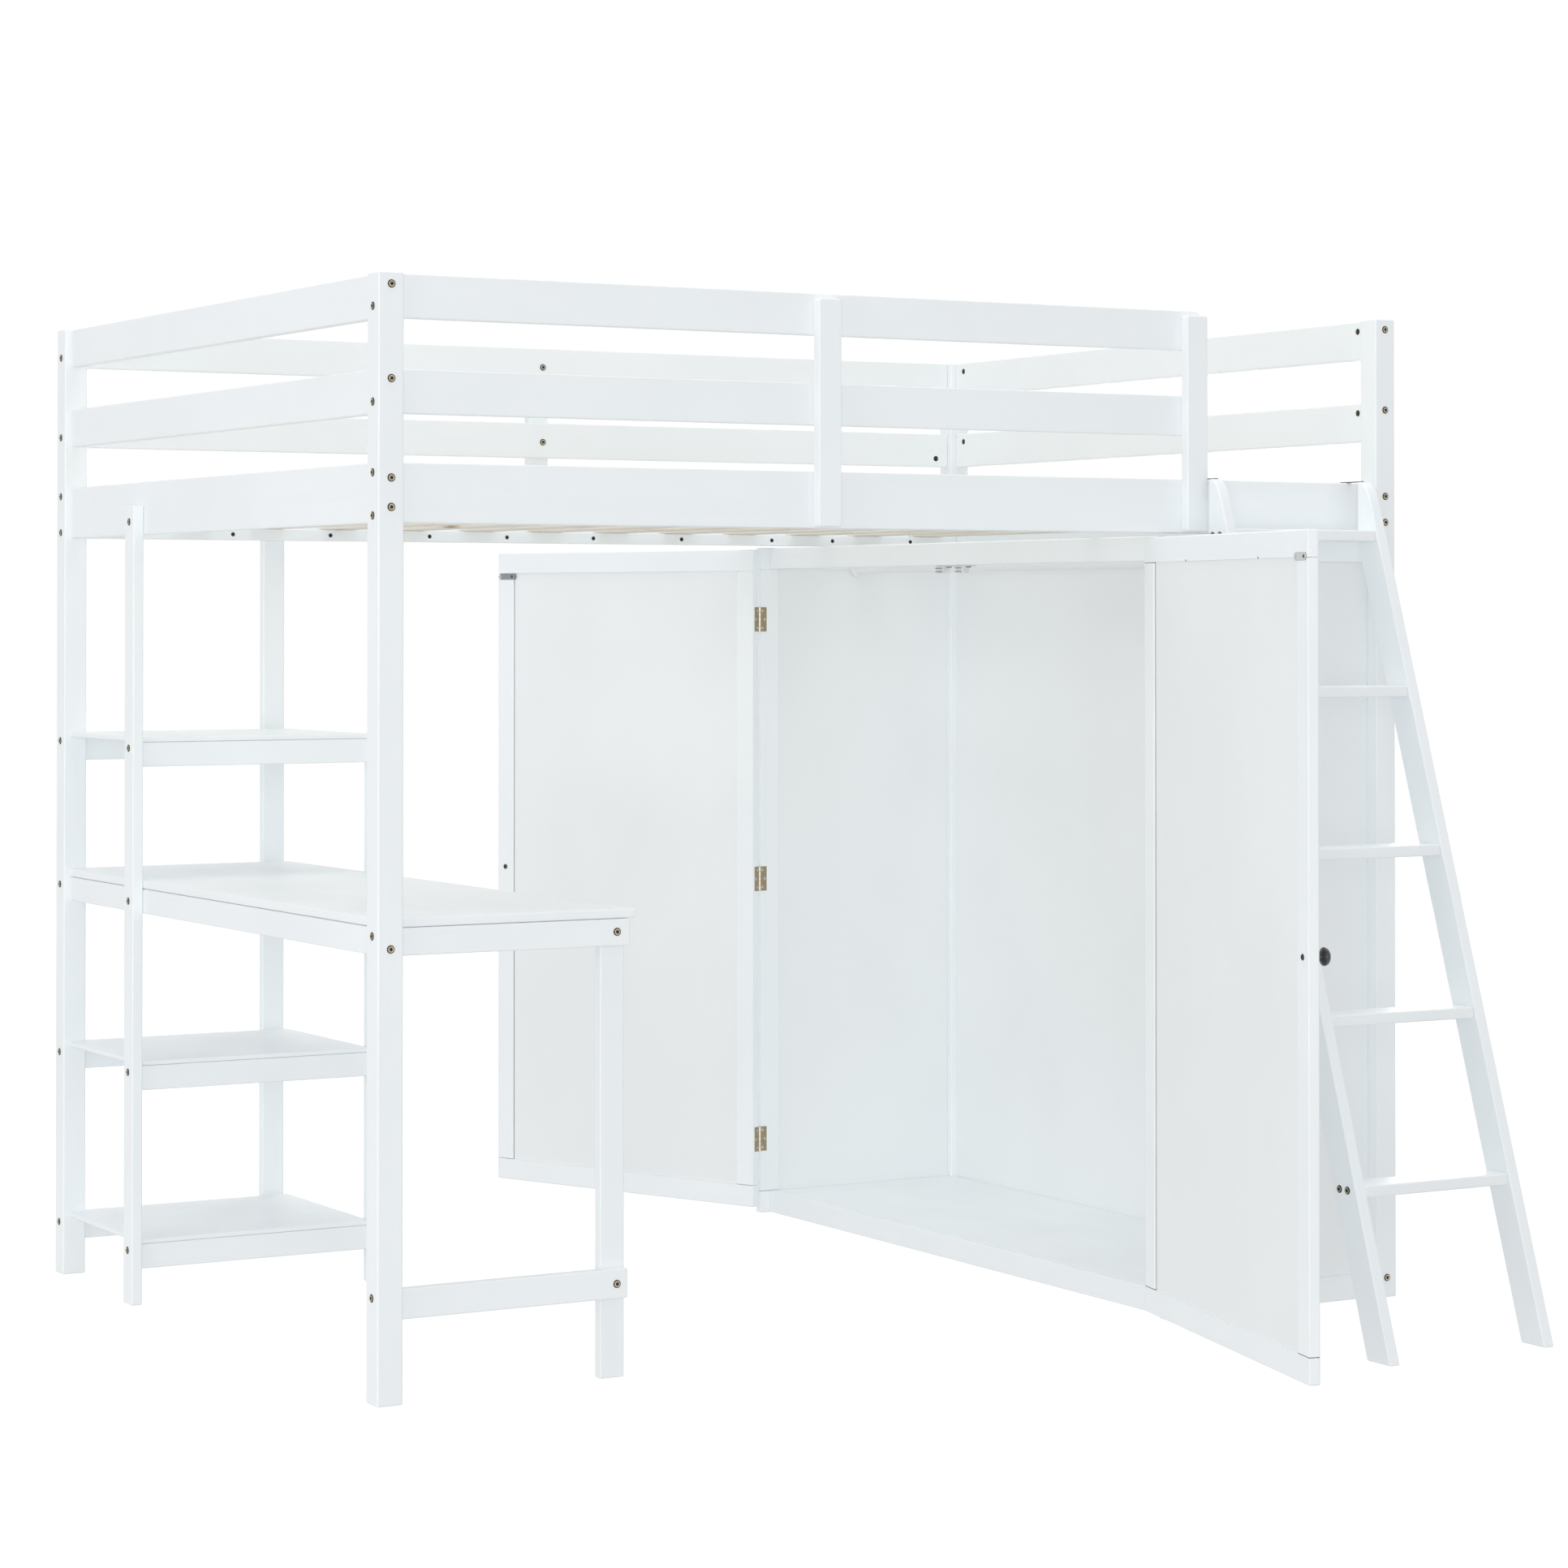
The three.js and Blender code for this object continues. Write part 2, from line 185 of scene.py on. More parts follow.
def painted_wood(name, colour, grain_depth):
    """Satin paint over planed pine: the grain telegraphs faintly, and the rounded edges turn a
    little darker and yellower in streaks.
    """
    g = Graph(name)
    streaks = g.noise((7.0, 190.0, 190.0), detail=5.0, roughness=0.62, distortion=0.4)
    growth = g.noise((1.6, 34.0, 34.0), detail=2.0, distortion=1.2)
    mottle = g.noise((3.2, 4.4, 4.4), detail=3.0)
    stipple = g.noise((720.0, 720.0, 720.0), detail=2.0)
    edge = g.attribute("edge").outputs["Fac"]

    shade = dimmed(colour, 0.965)
    # The rounded edges take a darker, yellower tone in streaks.
    edge_mark = (colour[0] * 0.93, colour[1] * 0.915, colour[2] * 0.89, 1.0)
    tone = g.mix(g.remap(mottle, 0.3, 0.7, 0.0, 1.0), colour, shade)
    tone = g.mix(g.remap(growth, 0.52, 0.72, 0.0, 0.35), tone, shade)
    edge_share = g.maths("MULTIPLY", edge, g.remap(streaks, 0.42, 0.66, 0.0, 0.6))
    tone = g.mix(edge_share, tone, edge_mark)

    gloss = g.remap(mottle, 0.25, 0.75, 0.36, 0.46)
    gloss = g.maths("ADD", gloss, g.remap(streaks, 0.3, 0.7, -0.03, 0.05))
    relief = g.bump(growth, grain_depth * 1.5)
    relief = g.bump(streaks, grain_depth, below=relief)
    relief = g.bump(stipple, 0.00002, below=relief)
    return g.finish(
        Base_Color=tone, Roughness=gloss, Normal=relief, Coat_Weight=0.08, Coat_Roughness=0.3
    )


def painted_panel(name, colour):
    """The same paint rolled on smooth thin board: no grain, a fine roller stipple, faint waves."""
    g = Graph(name)
    wave = g.noise((2.1, 2.9, 2.9), detail=2.0)
    roller = g.noise((260.0, 260.0, 260.0), detail=3.0, roughness=0.6)
    fine = g.noise((900.0, 900.0, 900.0), detail=1.0)
    shade = dimmed(colour, 0.972)
    tone = g.mix(g.remap(wave, 0.35, 0.65, 0.0, 1.0), colour, shade)
    broad = g.remap(wave, 0.3, 0.7, 0.4, 0.47)
    gloss = g.maths("ADD", broad, g.remap(fine, 0.3, 0.7, -0.03, 0.03))
    relief = g.bump(wave, 0.0012)
    relief = g.bump(roller, 0.00004, below=relief)
    return g.finish(Base_Color=tone, Roughness=gloss, Normal=relief, Coat_Weight=0.05)


def raw_pine(name):
    """Planed, unpainted pine: pale sapwood, darker growth bands, a few knots, dry surface."""
    g = Graph(name)
    bands = g.noise((1.1, 46.0, 30.0), detail=2.0, distortion=1.6)
    fibres = g.noise((14.0, 620.0, 620.0), detail=5.0, roughness=0.7)
    patches = g.noise((2.4, 9.0, 9.0), detail=2.0)
    inputs = {"Vector": g.stretched((3.0, 14.0, 14.0)), "Scale": 1.0, "Randomness": 1.0}
    knot = g.add("TexVoronoi", inputs, feature="F1").outputs["Distance"]

    pale = rgb(0.81, 0.77, 0.68)
    tan = rgb(0.72, 0.655, 0.54)
    brown = rgb(0.32, 0.16, 0.07)
    tone = g.mix(g.remap(bands, 0.44, 0.62, 0.0, 0.75), pale, tan)
    tone = g.mix(g.remap(fibres, 0.45, 0.75, 0.0, 0.35), tone, tan)
    tone = g.mix(g.remap(patches, 0.4, 0.7, 0.0, 0.3), tone, rgb(0.83, 0.79, 0.71))
    tone = g.mix(g.remap(knot, 0.05, 0.14, 0.8, 0.0), tone, brown)

    gloss = g.remap(fibres, 0.3, 0.7, 0.62, 0.8)
    relief = g.bump(bands, 0.00012)
    relief = g.bump(fibres, 0.00008, below=relief)
    return g.finish(Base_Color=tone, Roughness=gloss, Normal=relief)


PITTING = 0.35  # how much of a rubbed face's brightness its pits take


def metal(name, bright, dark, roughness):
    """Plated or oxidised steel: bright on marked faces, darker elsewhere, finely pitted. The marks
    are rubbed edges and tops, and in the barrel nuts a painted highlight on the hole's wall.
    """
    g = Graph(name)
    edge_mark = g.attribute("edge").outputs["Fac"]
    blotches = g.noise((240.0, 240.0, 240.0), detail=4.0)
    brushed = g.noise((150.0, 2400.0, 2400.0), detail=2.0)
    share = g.maths("MULTIPLY", edge_mark, g.remap(blotches, 0.25, 0.6, 1.0 - PITTING, 1.0))
    tone = g.mix(share, dark, bright)
    gloss = g.remap(blotches, 0.3, 0.7, roughness, roughness + 0.14)
    relief = g.bump(blotches, 0.00004)
    relief = g.bump(brushed, 0.00001, below=relief)
    return g.finish(Base_Color=tone, Roughness=gloss, Normal=relief, Metallic=1.0)


def moulded(name, colour, roughness, coat, peel_depth=0.00003, clouding=0.88):
    """Moulded plastic or baked enamel, with a faint orange peel."""
    g = Graph(name)
    peel = g.noise((420.0, 420.0, 420.0), detail=2.0)
    cloud = g.noise((60.0, 60.0, 60.0), detail=2.0)
    shade = dimmed(colour, clouding)
    tone = g.mix(g.remap(cloud, 0.35, 0.65, 0.0, 1.0), colour, shade)
    gloss = g.remap(peel, 0.3, 0.7, roughness, roughness + 0.08)
    relief = g.bump(peel, peel_depth)
    return g.finish(
        Base_Color=tone, Roughness=gloss, Normal=relief, Coat_Weight=coat, Coat_Roughness=0.15
    )


def webbing(name, colour):
    """Woven polyester strap: ribs across it, and a finer weave along it."""
    g = Graph(name)
    ribs = {"Vector": g.stretched((1.0, 1.0, 1.0)), "Scale": 420.0, "Distortion": 0.6}
    across = g.add("TexWave", ribs, wave_type="BANDS", bands_direction="X").outputs["Fac"]
    warp = {"Vector": g.stretched((1.0, 1.0, 1.0)), "Scale": 260.0, "Distortion": 0.4}
    along = g.add("TexWave", warp, wave_type="BANDS", bands_direction="Y").outputs["Fac"]
    weave = g.maths("MULTIPLY", across, along)
    fuzz = g.noise((900.0, 900.0, 900.0), detail=3.0)
    shade = dimmed(colour, 0.6)
    tone = g.mix(g.remap(weave, 0.0, 0.8, 0.0, 1.0), shade, colour)
    tone = g.mix(g.remap(fuzz, 0.4, 0.7, 0.0, 0.25), tone, shade)
    gloss = g.remap(fuzz, 0.3, 0.7, 0.75, 0.9)
    relief = g.bump(weave, 0.0003)
    return g.finish(Base_Color=tone, Roughness=gloss, Normal=relief, Sheen_Weight=0.2)


WHITE = rgb(0.882, 0.922, 0.942)
PAINT = painted_wood("painted_pine", WHITE, 0.00005)
# The thin panels' colour is darker and greyer than WHITE: partly the thin board's own tone, partly painted shade
# for panels that sit inside the wardrobe and behind their frames.
PANEL_PAINT_AND_SHADE = painted_panel("thin_board_paint_and_shade", rgb(0.855, 0.885, 0.897))
PINE = raw_pine("bare_pine")
ENAMEL = moulded(
    "white_enamel", rgb(0.86, 0.87, 0.875), 0.34, 0.12, peel_depth=0.000004, clouding=0.98
)
BLACK = moulded("black_knob", rgb(0.012, 0.013, 0.015), 0.26, 0.4)
CATCH = moulded("white_catch_plastic", rgb(0.80, 0.81, 0.81), 0.38, 0.1)
BRONZE = metal("antique_bronze", rgb(0.50, 0.43, 0.31), rgb(0.045, 0.04, 0.03), 0.3)
NICKEL = metal("aged_nickel", rgb(0.80, 0.76, 0.69), rgb(0.36, 0.29, 0.18), 0.26)
ZINC = metal("zinc_plate", rgb(0.66, 0.67, 0.67), rgb(0.30, 0.30, 0.30), 0.3)
SCREW = metal("black_screw", rgb(0.10, 0.10, 0.10), rgb(0.015, 0.015, 0.016), 0.35)
STEEL = metal("blued_steel", rgb(0.24, 0.26, 0.27), rgb(0.09, 0.10, 0.105), 0.34)
# Painted shade: near-black strips laid in the wide panel gaps and the stile joints, where there is only shadow.
PAINTED_GAP_SHADE = moulded("painted_gap_shade", rgb(0.045, 0.047, 0.05), 0.8, 0.0)
WEBBING = webbing("strap_webbing", rgb(0.72, 0.71, 0.68))


# ---------------------------------------------------------------- mesh helpers

# Faces that meet at less than these angles are shaded as one curve.
CURVE_METAL = math.radians(35)
CURVE_FITTING = math.radians(38)
CURVE_MOULDED = math.radians(40)
CURVE_TURNED = math.radians(50)

ROUNDED_CORNER = math.radians(25)  # the least turn of a corner line that gets rounded
SQUARE_CORNER = math.radians(80)


def seed_of(name):
    """A place in the grain that is this piece's own, the same on every run."""
    code = zlib.crc32(name.encode())
    return Vector((code % 97, code // 97 % 89, code // 8633 % 83)) * 0.37


def grain_axes(direction):
    """Three unit vectors: along the grain, then two across it."""
    along = Vector(direction).normalized()
    aside = Vector((0, 0, 1)) if abs(along.z) < 0.9 else Vector((1, 0, 0))
    across = along.cross(aside).normalized()
    return along, across, along.cross(across)


def write_attributes(mesh, name, direction, edge_faces):
    """Stores the board coordinates and the rubbed edges that the materials read."""
    axes = grain_axes(direction)
    offset = seed_of(name)
    grain = mesh.attributes.new("grain", "FLOAT_VECTOR", "POINT")
    for vertex, value in zip(mesh.vertices, grain.data):
        value.vector = Vector([vertex.co.dot(axis) for axis in axes]) + offset
    edge = mesh.attributes.new("edge", "FLOAT", "CORNER")
    for face in mesh.polygons:
        edge_share = 1.0 if face.index in edge_faces else 0.0
        for loop in face.loop_indices:
            edge.data[loop].value = edge_share


def piece(name, bm, material, body, grain=(0, 0, 1), replaces=(), smooth=math.pi):
    """Makes bm a named piece of the bed that rides on a body. bm is used up."""
    bm.normal_update()
    layer = bm.faces.layers.int.get("edge_mark")
    bm.faces.index_update()
    edge_mark = {f.index for f in bm.faces if layer is not None and f[layer]}
    mesh = bpy.data.meshes.new(name)
    bm.to_mesh(mesh)
    bm.free()
    write_attributes(mesh, name, grain, edge_mark)
    mesh.polygons.foreach_set("use_smooth", [True] * len(mesh.polygons))
    if smooth < math.pi:
        mesh.set_sharp_from_angle(angle=smooth)
    mesh.materials.append(material)
    made = bpy.data.objects.new(name, mesh)
    bpy.context.scene.collection.objects.link(made)
    weighted = made.modifiers.new("weighted normals", "WEIGHTED_NORMAL")
    weighted.keep_sharp = True
    weighted.weight = 80
    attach(made, body)
    if replaces:
        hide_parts(*replaces)
    return made


def edge_mark_layer(bm):
    """The layer that says which faces are marked for an edge tone or a bright band."""
    return bm.faces.layers.int.get("edge_mark") or bm.faces.layers.int.new("edge_mark")


def mark(bm, faces):
    """Remembers these faces as marked for an edge tone or a bright band."""
    layer = edge_mark_layer(bm)
    for face in faces:
        if face.is_valid:
            face[layer] = 1


def ease(bm, radius, segments=3, keep=None):
    """Rounds every convex corner line of a board to a radius, in millimetres."""
    edge_mark_layer(bm)
    bm.normal_update()
    corners = [
        e
        for e in bm.edges
        if len(e.link_faces) == 2
        and e.is_convex
        and e.calc_face_angle() > ROUNDED_CORNER
        and (keep is None or keep(e))
    ]
    made = bmesh.ops.bevel(
        bm,
        geom=corners,
        offset=radius * MM,
        segments=segments,
        profile=0.5,
        affect="EDGES",
        clamp_overlap=False,
    )
    mark(bm, made["faces"])


def from_cad(node):
    """The CAD node's solid as a bmesh with whole flat faces."""
    bm = bmesh.new()
    bm.from_mesh(frame["nodes"][node].data)
    bmesh.ops.remove_doubles(bm, verts=bm.verts, dist=0.01 * MM)
    bmesh.ops.dissolve_limit(
        bm,
        angle_limit=math.radians(1),
        verts=bm.verts,
        edges=bm.edges,
        use_dissolve_boundaries=False,
    )
    return bm


def add_box(bm, low, high):
    widths, depths, heights = zip(low, high)
    corners = [bm.verts.new((x, y, z)) for z in heights for y in depths for x in widths]
    sides = ((0, 2, 3, 1), (4, 5, 7, 6), (0, 1, 5, 4), (2, 6, 7, 3), (0, 4, 6, 2), (1, 3, 7, 5))
    for side in sides:
        bm.faces.new([corners[i] for i in side])


def member(x, y, z, radius=2.0, butts=""):
    """A board between two corners, in millimetres. The ends named in butts, such as "y" or "z+",
    meet another board, so their corner lines stay almost sharp."""
    low = Vector((x[0], y[0], z[0])) * MM
    high = Vector((x[1], y[1], z[1])) * MM
    bm = bmesh.new()
    add_box(bm, low, high)

    def meets(edge):
        for axis, name in enumerate("xyz"):
            for sign, value in (("-", low[axis]), ("+", high[axis])):
                both = name in butts and name + "-" not in butts and name + "+" not in butts
                if not (both or name + sign in butts):
                    continue
                if all(abs(v.co[axis] - value) < 1e-7 for v in edge.verts):
                    return True
        return False

    ease(bm, radius, keep=lambda e: not meets(e))
    ease(bm, 0.4, segments=1, keep=lambda e: e.calc_face_angle() > SQUARE_CORNER)
    return bm


def block(low, high, radius):
    """A board between two drawing positions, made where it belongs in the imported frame."""
    return member(*zip(at(*low) / MM, at(*high) / MM), radius)


def moved(bm, matrix):
    bmesh.ops.transform(bm, matrix=matrix, verts=bm.verts)
    return bm


def join(target, other):
    """Adds another bmesh's solids to target, with their marks. other is used up."""
    layer = edge_mark_layer(target)
    theirs = other.faces.layers.int.get("edge_mark")
    copies = {v: target.verts.new(v.co) for v in other.verts}
    for face in other.faces:
        new = target.faces.new([copies[v] for v in face.verts])
        new[layer] = face[theirs] if theirs is not None else 0
    other.free()
    return target


def hexagon(radius, turn):
    """Distance from the centre to the side of a hexagon whose corners lie at a radius."""
    sixth = math.pi / 3
    inside = (turn % sixth) - sixth / 2
    return radius * math.cos(sixth / 2) / math.cos(inside)


def close_band(bm, lower, upper):
    """The faces between two rings of points."""
    following = ((i, (i + 1) % len(lower)) for i in range(len(lower)))
    return [bm.faces.new((lower[i], lower[j], upper[j], upper[i])) for i, j in following]


def lathe(profile, segments=24, bright=()):
    """A turned solid about Z. profile lists (radius, height) or (radius, height, "hex") from the
    bottom to the top, in millimetres; the first and last are closed with a flat cap. The bands
    whose numbers are in bright are marked, and metals draw marked faces bright: as rubbed tops
    and edges, and in the barrel nuts as a painted highlight."""
    bm = bmesh.new()
    edge_mark_layer(bm)
    rings = []
    for radius, height, *shape in profile:
        ring = []
        for i in range(segments):
            turn = 2 * math.pi * i / segments
            reach = hexagon(radius, turn) if shape else radius
            x, y = reach * math.cos(turn) * MM, reach * math.sin(turn) * MM
            ring.append(bm.verts.new((x, y, height * MM)))
        rings.append(ring)
    for number, (lower, upper) in enumerate(zip(rings, rings[1:])):
        band = close_band(bm, lower, upper)
        if number in bright:
            mark(bm, band)
    bm.faces.new(list(reversed(rings[0])))
    top = bm.faces.new(rings[-1])
    if len(rings) in bright:
        mark(bm, [top])
    return bm


def facing(place, direction, spin=0.0):
    """A matrix that puts a small part, made along +Z, at a place and turns it to a direction."""
    turn = Vector(direction).to_track_quat("Z", "Y").to_matrix().to_4x4()
    return Matrix.Translation(place) @ turn @ Matrix.Rotation(spin, 4, "Z")


def fittings(name, part, places, material, body, to_frame=None):
    """One piece made of the same small part at several (x, y, z, direction) places: drawing
    positions, or a door's own axes when to_frame says where these are. Each is turned a little
    further than the one before, as hand-driven screws are."""
    whole = bmesh.new()
    edge_mark_layer(whole)
    for i, (x, y, z, direction) in enumerate(places):
        place = Vector((x, y, z)) * MM if to_frame else at(x, y, z)
        matrix = facing(place, direction, spin=0.7 * i + 0.3)
        join(whole, moved(part(), (to_frame or Matrix.Identity(4)) @ matrix))
    return piece(name, whole, material, body, smooth=CURVE_FITTING)


# ---------------------------------------------------------------- painted boards of the CAD

EDGE_RADIUS = 2.5
EDGE_RADII = {  # by the start of the node's name
    "slat_ledger": 1.5,
    "shelf_board": 2.0,
    "post_": 3.0,
    "ladder_": 3.0,
    "guard_board": 3.0,
}
FRAMED = (
    "wardrobe_side_front",
    "wardrobe_side_back",
    "wardrobe_end_panel",
    "door_front",
    "door_back",
)
NOT_BOARDS = ("slat_roll", "clothes_rod", "door_knob_front", "door_knob_back")


def longest_axis(node):
    low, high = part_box(node)
    size = high - low
    axis = max(range(3), key=lambda i: size[i])
    return tuple(1.0 if i == axis else 0.0 for i in range(3))


def build_boards():
    for body, nodes in frame["record"]["behaviour"]["bodies"].items():
        for node in nodes:
            if node in FRAMED or node in NOT_BOARDS:
                continue
            radii = [r for start, r in EDGE_RADII.items() if node.startswith(start)]
            bm = from_cad(node)
            ease(bm, radii[0] if radii else EDGE_RADIUS)
            grain = longest_axis(node)
            if node.startswith("ladder_stile"):
                grain = (0, LADDER_LEAN, 1)
            piece(node + "_painted", bm, PAINT, body, grain, [node])


# ---------------------------------------------------------------- framed panels and doors

UP = Vector((0, 0, 1))
BEAD = (4, 6)  # thickness and width of the beads that hold the thin panels from behind
BEAD_FIT = 0.02  # between a bead and the boards that it lies on
PANEL_FIT = 0.05  # between a thin panel and its rails
SHADE_STRIP_FIT = 0.1  # between the felt of a gap and the gap's sides
SHADE_STRIP_RECESS = (0.3, 0.8)  # from the thin panel's inner and outer face to the shade strip's
JOINT_SHADE_STRIP_INSET = 1.0
WARDROBE_RADIUS = 2.2
DOOR_RADIUS = 2.8


def line_gaps_with_painted_shade(name, to_frame, width, spaces, body, door):
    """Near-black strips at the bottom of the wide gaps beside a door's thin panel and in the joints
    under and over its stiles: painted shade, standing for the shadow in these gaps.
    """
    panel_x, panel_y, panel_z, stile_z, gaps = spaces
    shade_strips = bmesh.new()
    edge_mark_layer(shade_strips)
    shade_strip_x = (panel_x[0] + SHADE_STRIP_RECESS[0], panel_x[1] - SHADE_STRIP_RECESS[1])
    ends = (
        (POST + SHADE_STRIP_FIT, panel_y[0] - SHADE_STRIP_FIT),
        (panel_y[1] + SHADE_STRIP_FIT, width - POST - SHADE_STRIP_FIT),
    )
    for gap, y in zip(gaps, ends):
        if gap > 1:
            join(shade_strips, member(shade_strip_x, y, panel_z, 0.1))
    # Near-black strips in the stile joints: painted shade for their shadow lines.
    if door == "front":
        inset = JOINT_SHADE_STRIP_INSET
        joint_x = (inset, BOARD - 0.6)
        low_joint = (panel_z[0], stile_z[0] - PANEL_FIT)
        high_joint = (stile_z[1] + PANEL_FIT, panel_z[1])
        hinge_side = (inset, POST - inset)
        free_side = (width - POST + inset, width - inset)
        for y, z in ((hinge_side, low_joint), (hinge_side, high_joint), (free_side, low_joint)):
            join(shade_strips, member(joint_x, y, z, 0.05))
    piece(f"{name}_felt", moved(shade_strips, to_frame), PAINTED_GAP_SHADE, body, (0, 0, 1))


def framed_panel(name, to_frame, width, height, stiles, body, inner_end, radius, door="none"):
    """A frame of two long rails and up to two stiles round a thin panel, in its own axes: X is
    the thickness, Y the width and Z the height, from the frame's lowest corner. Its inner face,
    near which the thin panel lies, is at the inner_end of X: 0, or 1 for the thickness."""
    thick = (CLEARANCE, BOARD - CLEARANCE)
    across = (CLEARANCE, width - CLEARANCE)
    stile_z = (POST + JOINT_GAPS[0], height - POST - JOINT_GAPS[1])
    panel_z = (POST + PANEL_FIT, height - POST - PANEL_FIT)
    panel_x = (INNER_RECESS, INNER_RECESS + PANEL)
    bead_x = (panel_x[1] + BEAD_FIT, panel_x[1] + BEAD[0])
    if inner_end:
        panel_x = (BOARD - panel_x[1], BOARD - panel_x[0])
        bead_x = (BOARD - bead_x[1], BOARD - bead_x[0])
    parts = [
        ("rail_bottom", across, (CLEARANCE, POST), (0, 1, 0), "z+", None),
        ("rail_top", across, (height - POST, height - CLEARANCE), (0, 1, 0), "z-", None),
    ]
    panel_y = [CLEARANCE, width - CLEARANCE]
    gaps = PANEL_GAPS[door] if door != "back" else PANEL_GAPS[door][::-1]
    ends = (
        ("stile_start", POST, CLEARANCE, 1),
        ("stile_end", width - POST, width - CLEARANCE, -1),
    )
    for end, (part, near, outer, inwards) in enumerate(ends):
        if stiles[end]:
            bead_y = sorted((near + inwards * BEAD_FIT, near + inwards * BEAD[1]))
            parts.append((part, sorted((near, outer)), stile_z, (0, 0, 1), "z", bead_y))
            panel_y[end] = near + inwards * gaps[end]
    for part, y, z, grain, butts, bead_y in parts:
        bm = member(thick, y, z, radius, butts)
        if bead_y:
            join(bm, member(bead_x, bead_y, panel_z, 1.0))
        turned = to_frame.to_3x3() @ Vector(grain)
        piece(f"{name}_{part}", moved(bm, to_frame), PAINT, body, turned, [name])
    # Painted shade: near-black strips in the wide gaps beside the thin panel.
    if max(gaps) > 1:
        spaces = (panel_x, panel_y, panel_z, stile_z, gaps)
        line_gaps_with_painted_shade(name, to_frame, width, spaces, body, door)
    bm = moved(member(panel_x, panel_y, panel_z, 0.4), to_frame)
    upright = to_frame.to_3x3() @ UP
    piece(f"{name}_panel", bm, PANEL_PAINT_AND_SHADE, body, upright, [name])


def quarter_turn(x, y, z, degrees):
    return Matrix.Translation(at(x, y, z)) @ Matrix.Rotation(math.radians(degrees), 4, "Z")


def build_wardrobe():
    length = WARDROBE_BACK - WARDROBE_FRONT
    for side, y, inner_end in (("front", FRONT, 1), ("back", BACK, 0)):
        place = quarter_turn(WARDROBE_BACK, y[0], 0, 90)
        size = (length, WARDROBE_HEIGHT)
        name = f"wardrobe_side_{side}"
        framed_panel(name, place, *size, (False, True), "frame", inner_end, WARDROBE_RADIUS)
    place = quarter_turn(RIGHT[0], POST, 0, 0)
    size = (BED_WIDTH - 2 * POST, WARDROBE_HEIGHT)
    stiles = (False, False)
    framed_panel("wardrobe_end_panel", place, *size, stiles, "frame", 0, WARDROBE_RADIUS)


def hinge_matrix(joint_name, degrees):
    """From a door's own axes, in which the closed door lies along Y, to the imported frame."""
    joint = next(j for j in frame["joints"] if j["name"] == joint_name)
    pin = Vector((joint["pos_m"][0], joint["pos_m"][1], CORNER.z))
    return Matrix.Translation(pin) @ Matrix.Rotation(math.radians(degrees), 4, "Z")


FRONT_DOOR_OPEN = 166.2  # degrees, as photographed
BACK_DOOR_OPEN = -157.5
DOORS = {
    "front": {
        "hinge": hinge_matrix("front_door_hinge", FRONT_DOOR_OPEN),
        "towards": 1,
        "body": "front_door",
    },
    "back": {
        "hinge": hinge_matrix("back_door_hinge", BACK_DOOR_OPEN),
        "towards": -1,
        "body": "back_door",
    },
}


def knob():
    """A turned mushroom knob with a thin collar at its foot."""
    profile = [
        (9.2, 0), (9.4, 0.8), (9.0, 1.6), (7.6, 2.6), (6.9, 5.0), (7.1, 8.0), (8.6, 10.6),
        (11.6, 12.4), (13.9, 13.8), (14.9, 15.6), (15.0, 17.4), (14.3, 19.8), (12.6, 22.2),
        (9.8, 24.2), (6.4, 25.4), (3.0, 25.9), (0.6, 26.0),
    ]
    return lathe(profile, segments=48)


def knob_screw():
    """The pan head of the screw that holds a knob, seen on the door's inner face."""
    profile = [
        (5.2, -0.4), (5.2, 0.6), (4.4, 1.6), (3.0, 2.1), (1.9, 2.2),
        (1.7, 1.4, "hex"), (1.6, 0.4, "hex"),
    ]
    return lathe(profile, bright=(2, 3))


def build_doors():
    size = (DOOR_WIDTH, DOOR_Z[1] - DOOR_Z[0])
    stiles = (True, True)
    for side, door in DOORS.items():
        hinge, body = door["hinge"], door["body"]
        low = 0 if door["towards"] > 0 else -DOOR_WIDTH
        place = hinge @ Matrix.Translation(Vector((DOOR_FACE, low, DOOR_Z[0])) * MM)
        framed_panel(f"door_{side}", place, *size, stiles, body, 1, DOOR_RADIUS, side)
        knob_y = door["towards"] * (DOOR_WIDTH - POST / 2)
        turned = hinge @ facing(Vector((DOOR_FACE, knob_y, KNOB_Z)) * MM, (-1, 0, 0))
        node = f"door_knob_{side}"
        piece(
            node + "_turned", moved(knob(), turned), BLACK, body,
            replaces=[node], smooth=CURVE_TURNED,
        )
        place = [(DOOR_FACE + BOARD - CLEARANCE, knob_y, KNOB_Z, (1, 0, 0))]
        name = f"door_knob_screw_{side}"
        fittings(name, knob_screw, place, SCREW, body, hinge)


# ---------------------------------------------------------------- slats, straps and rod

STRAP_SAG = 1.1
STRAP_STEPS = 240
STRAP_SECTION = [  # across the strap, then up from the slats
    (-12, 0.1), (-11.4, 0), (11.4, 0), (12, 0.1),
    (12, 0.7), (11.4, 0.85), (-11.4, 0.85), (-12, 0.7),
]
STAPLES = (-9, 9)  # along the strap, from a slat's middle


def build_slats():
    for number, x in enumerate(SLAT_CENTRES, 1):
        left, right = x - SLAT_WIDTH / 2, x + SLAT_WIDTH / 2
        low = (left + CLEARANCE, FRONT[1] + CLEARANCE, SLAT_Z[0] + CLEARANCE)
        high = (right - CLEARANCE, BACK[0] - CLEARANCE, SLAT_Z[1] - CLEARANCE)
        bm = block(low, high, 2.2)
        piece(f"slat_{number:02d}", bm, PINE, "frame", (0, 1, 0), ["slat_roll"])


def strap_height(x):
    """The strap lies on the slats and sags a little between them."""
    nearest = min(abs(x - centre) for centre in SLAT_CENTRES)
    gap = max(0.0, nearest - SLAT_WIDTH / 2)
    free = (SLAT_CENTRES[1] - SLAT_CENTRES[0] - SLAT_WIDTH) / 2
    return -STRAP_SAG * math.sin(0.5 * math.pi * min(1.0, gap / free)) ** 2


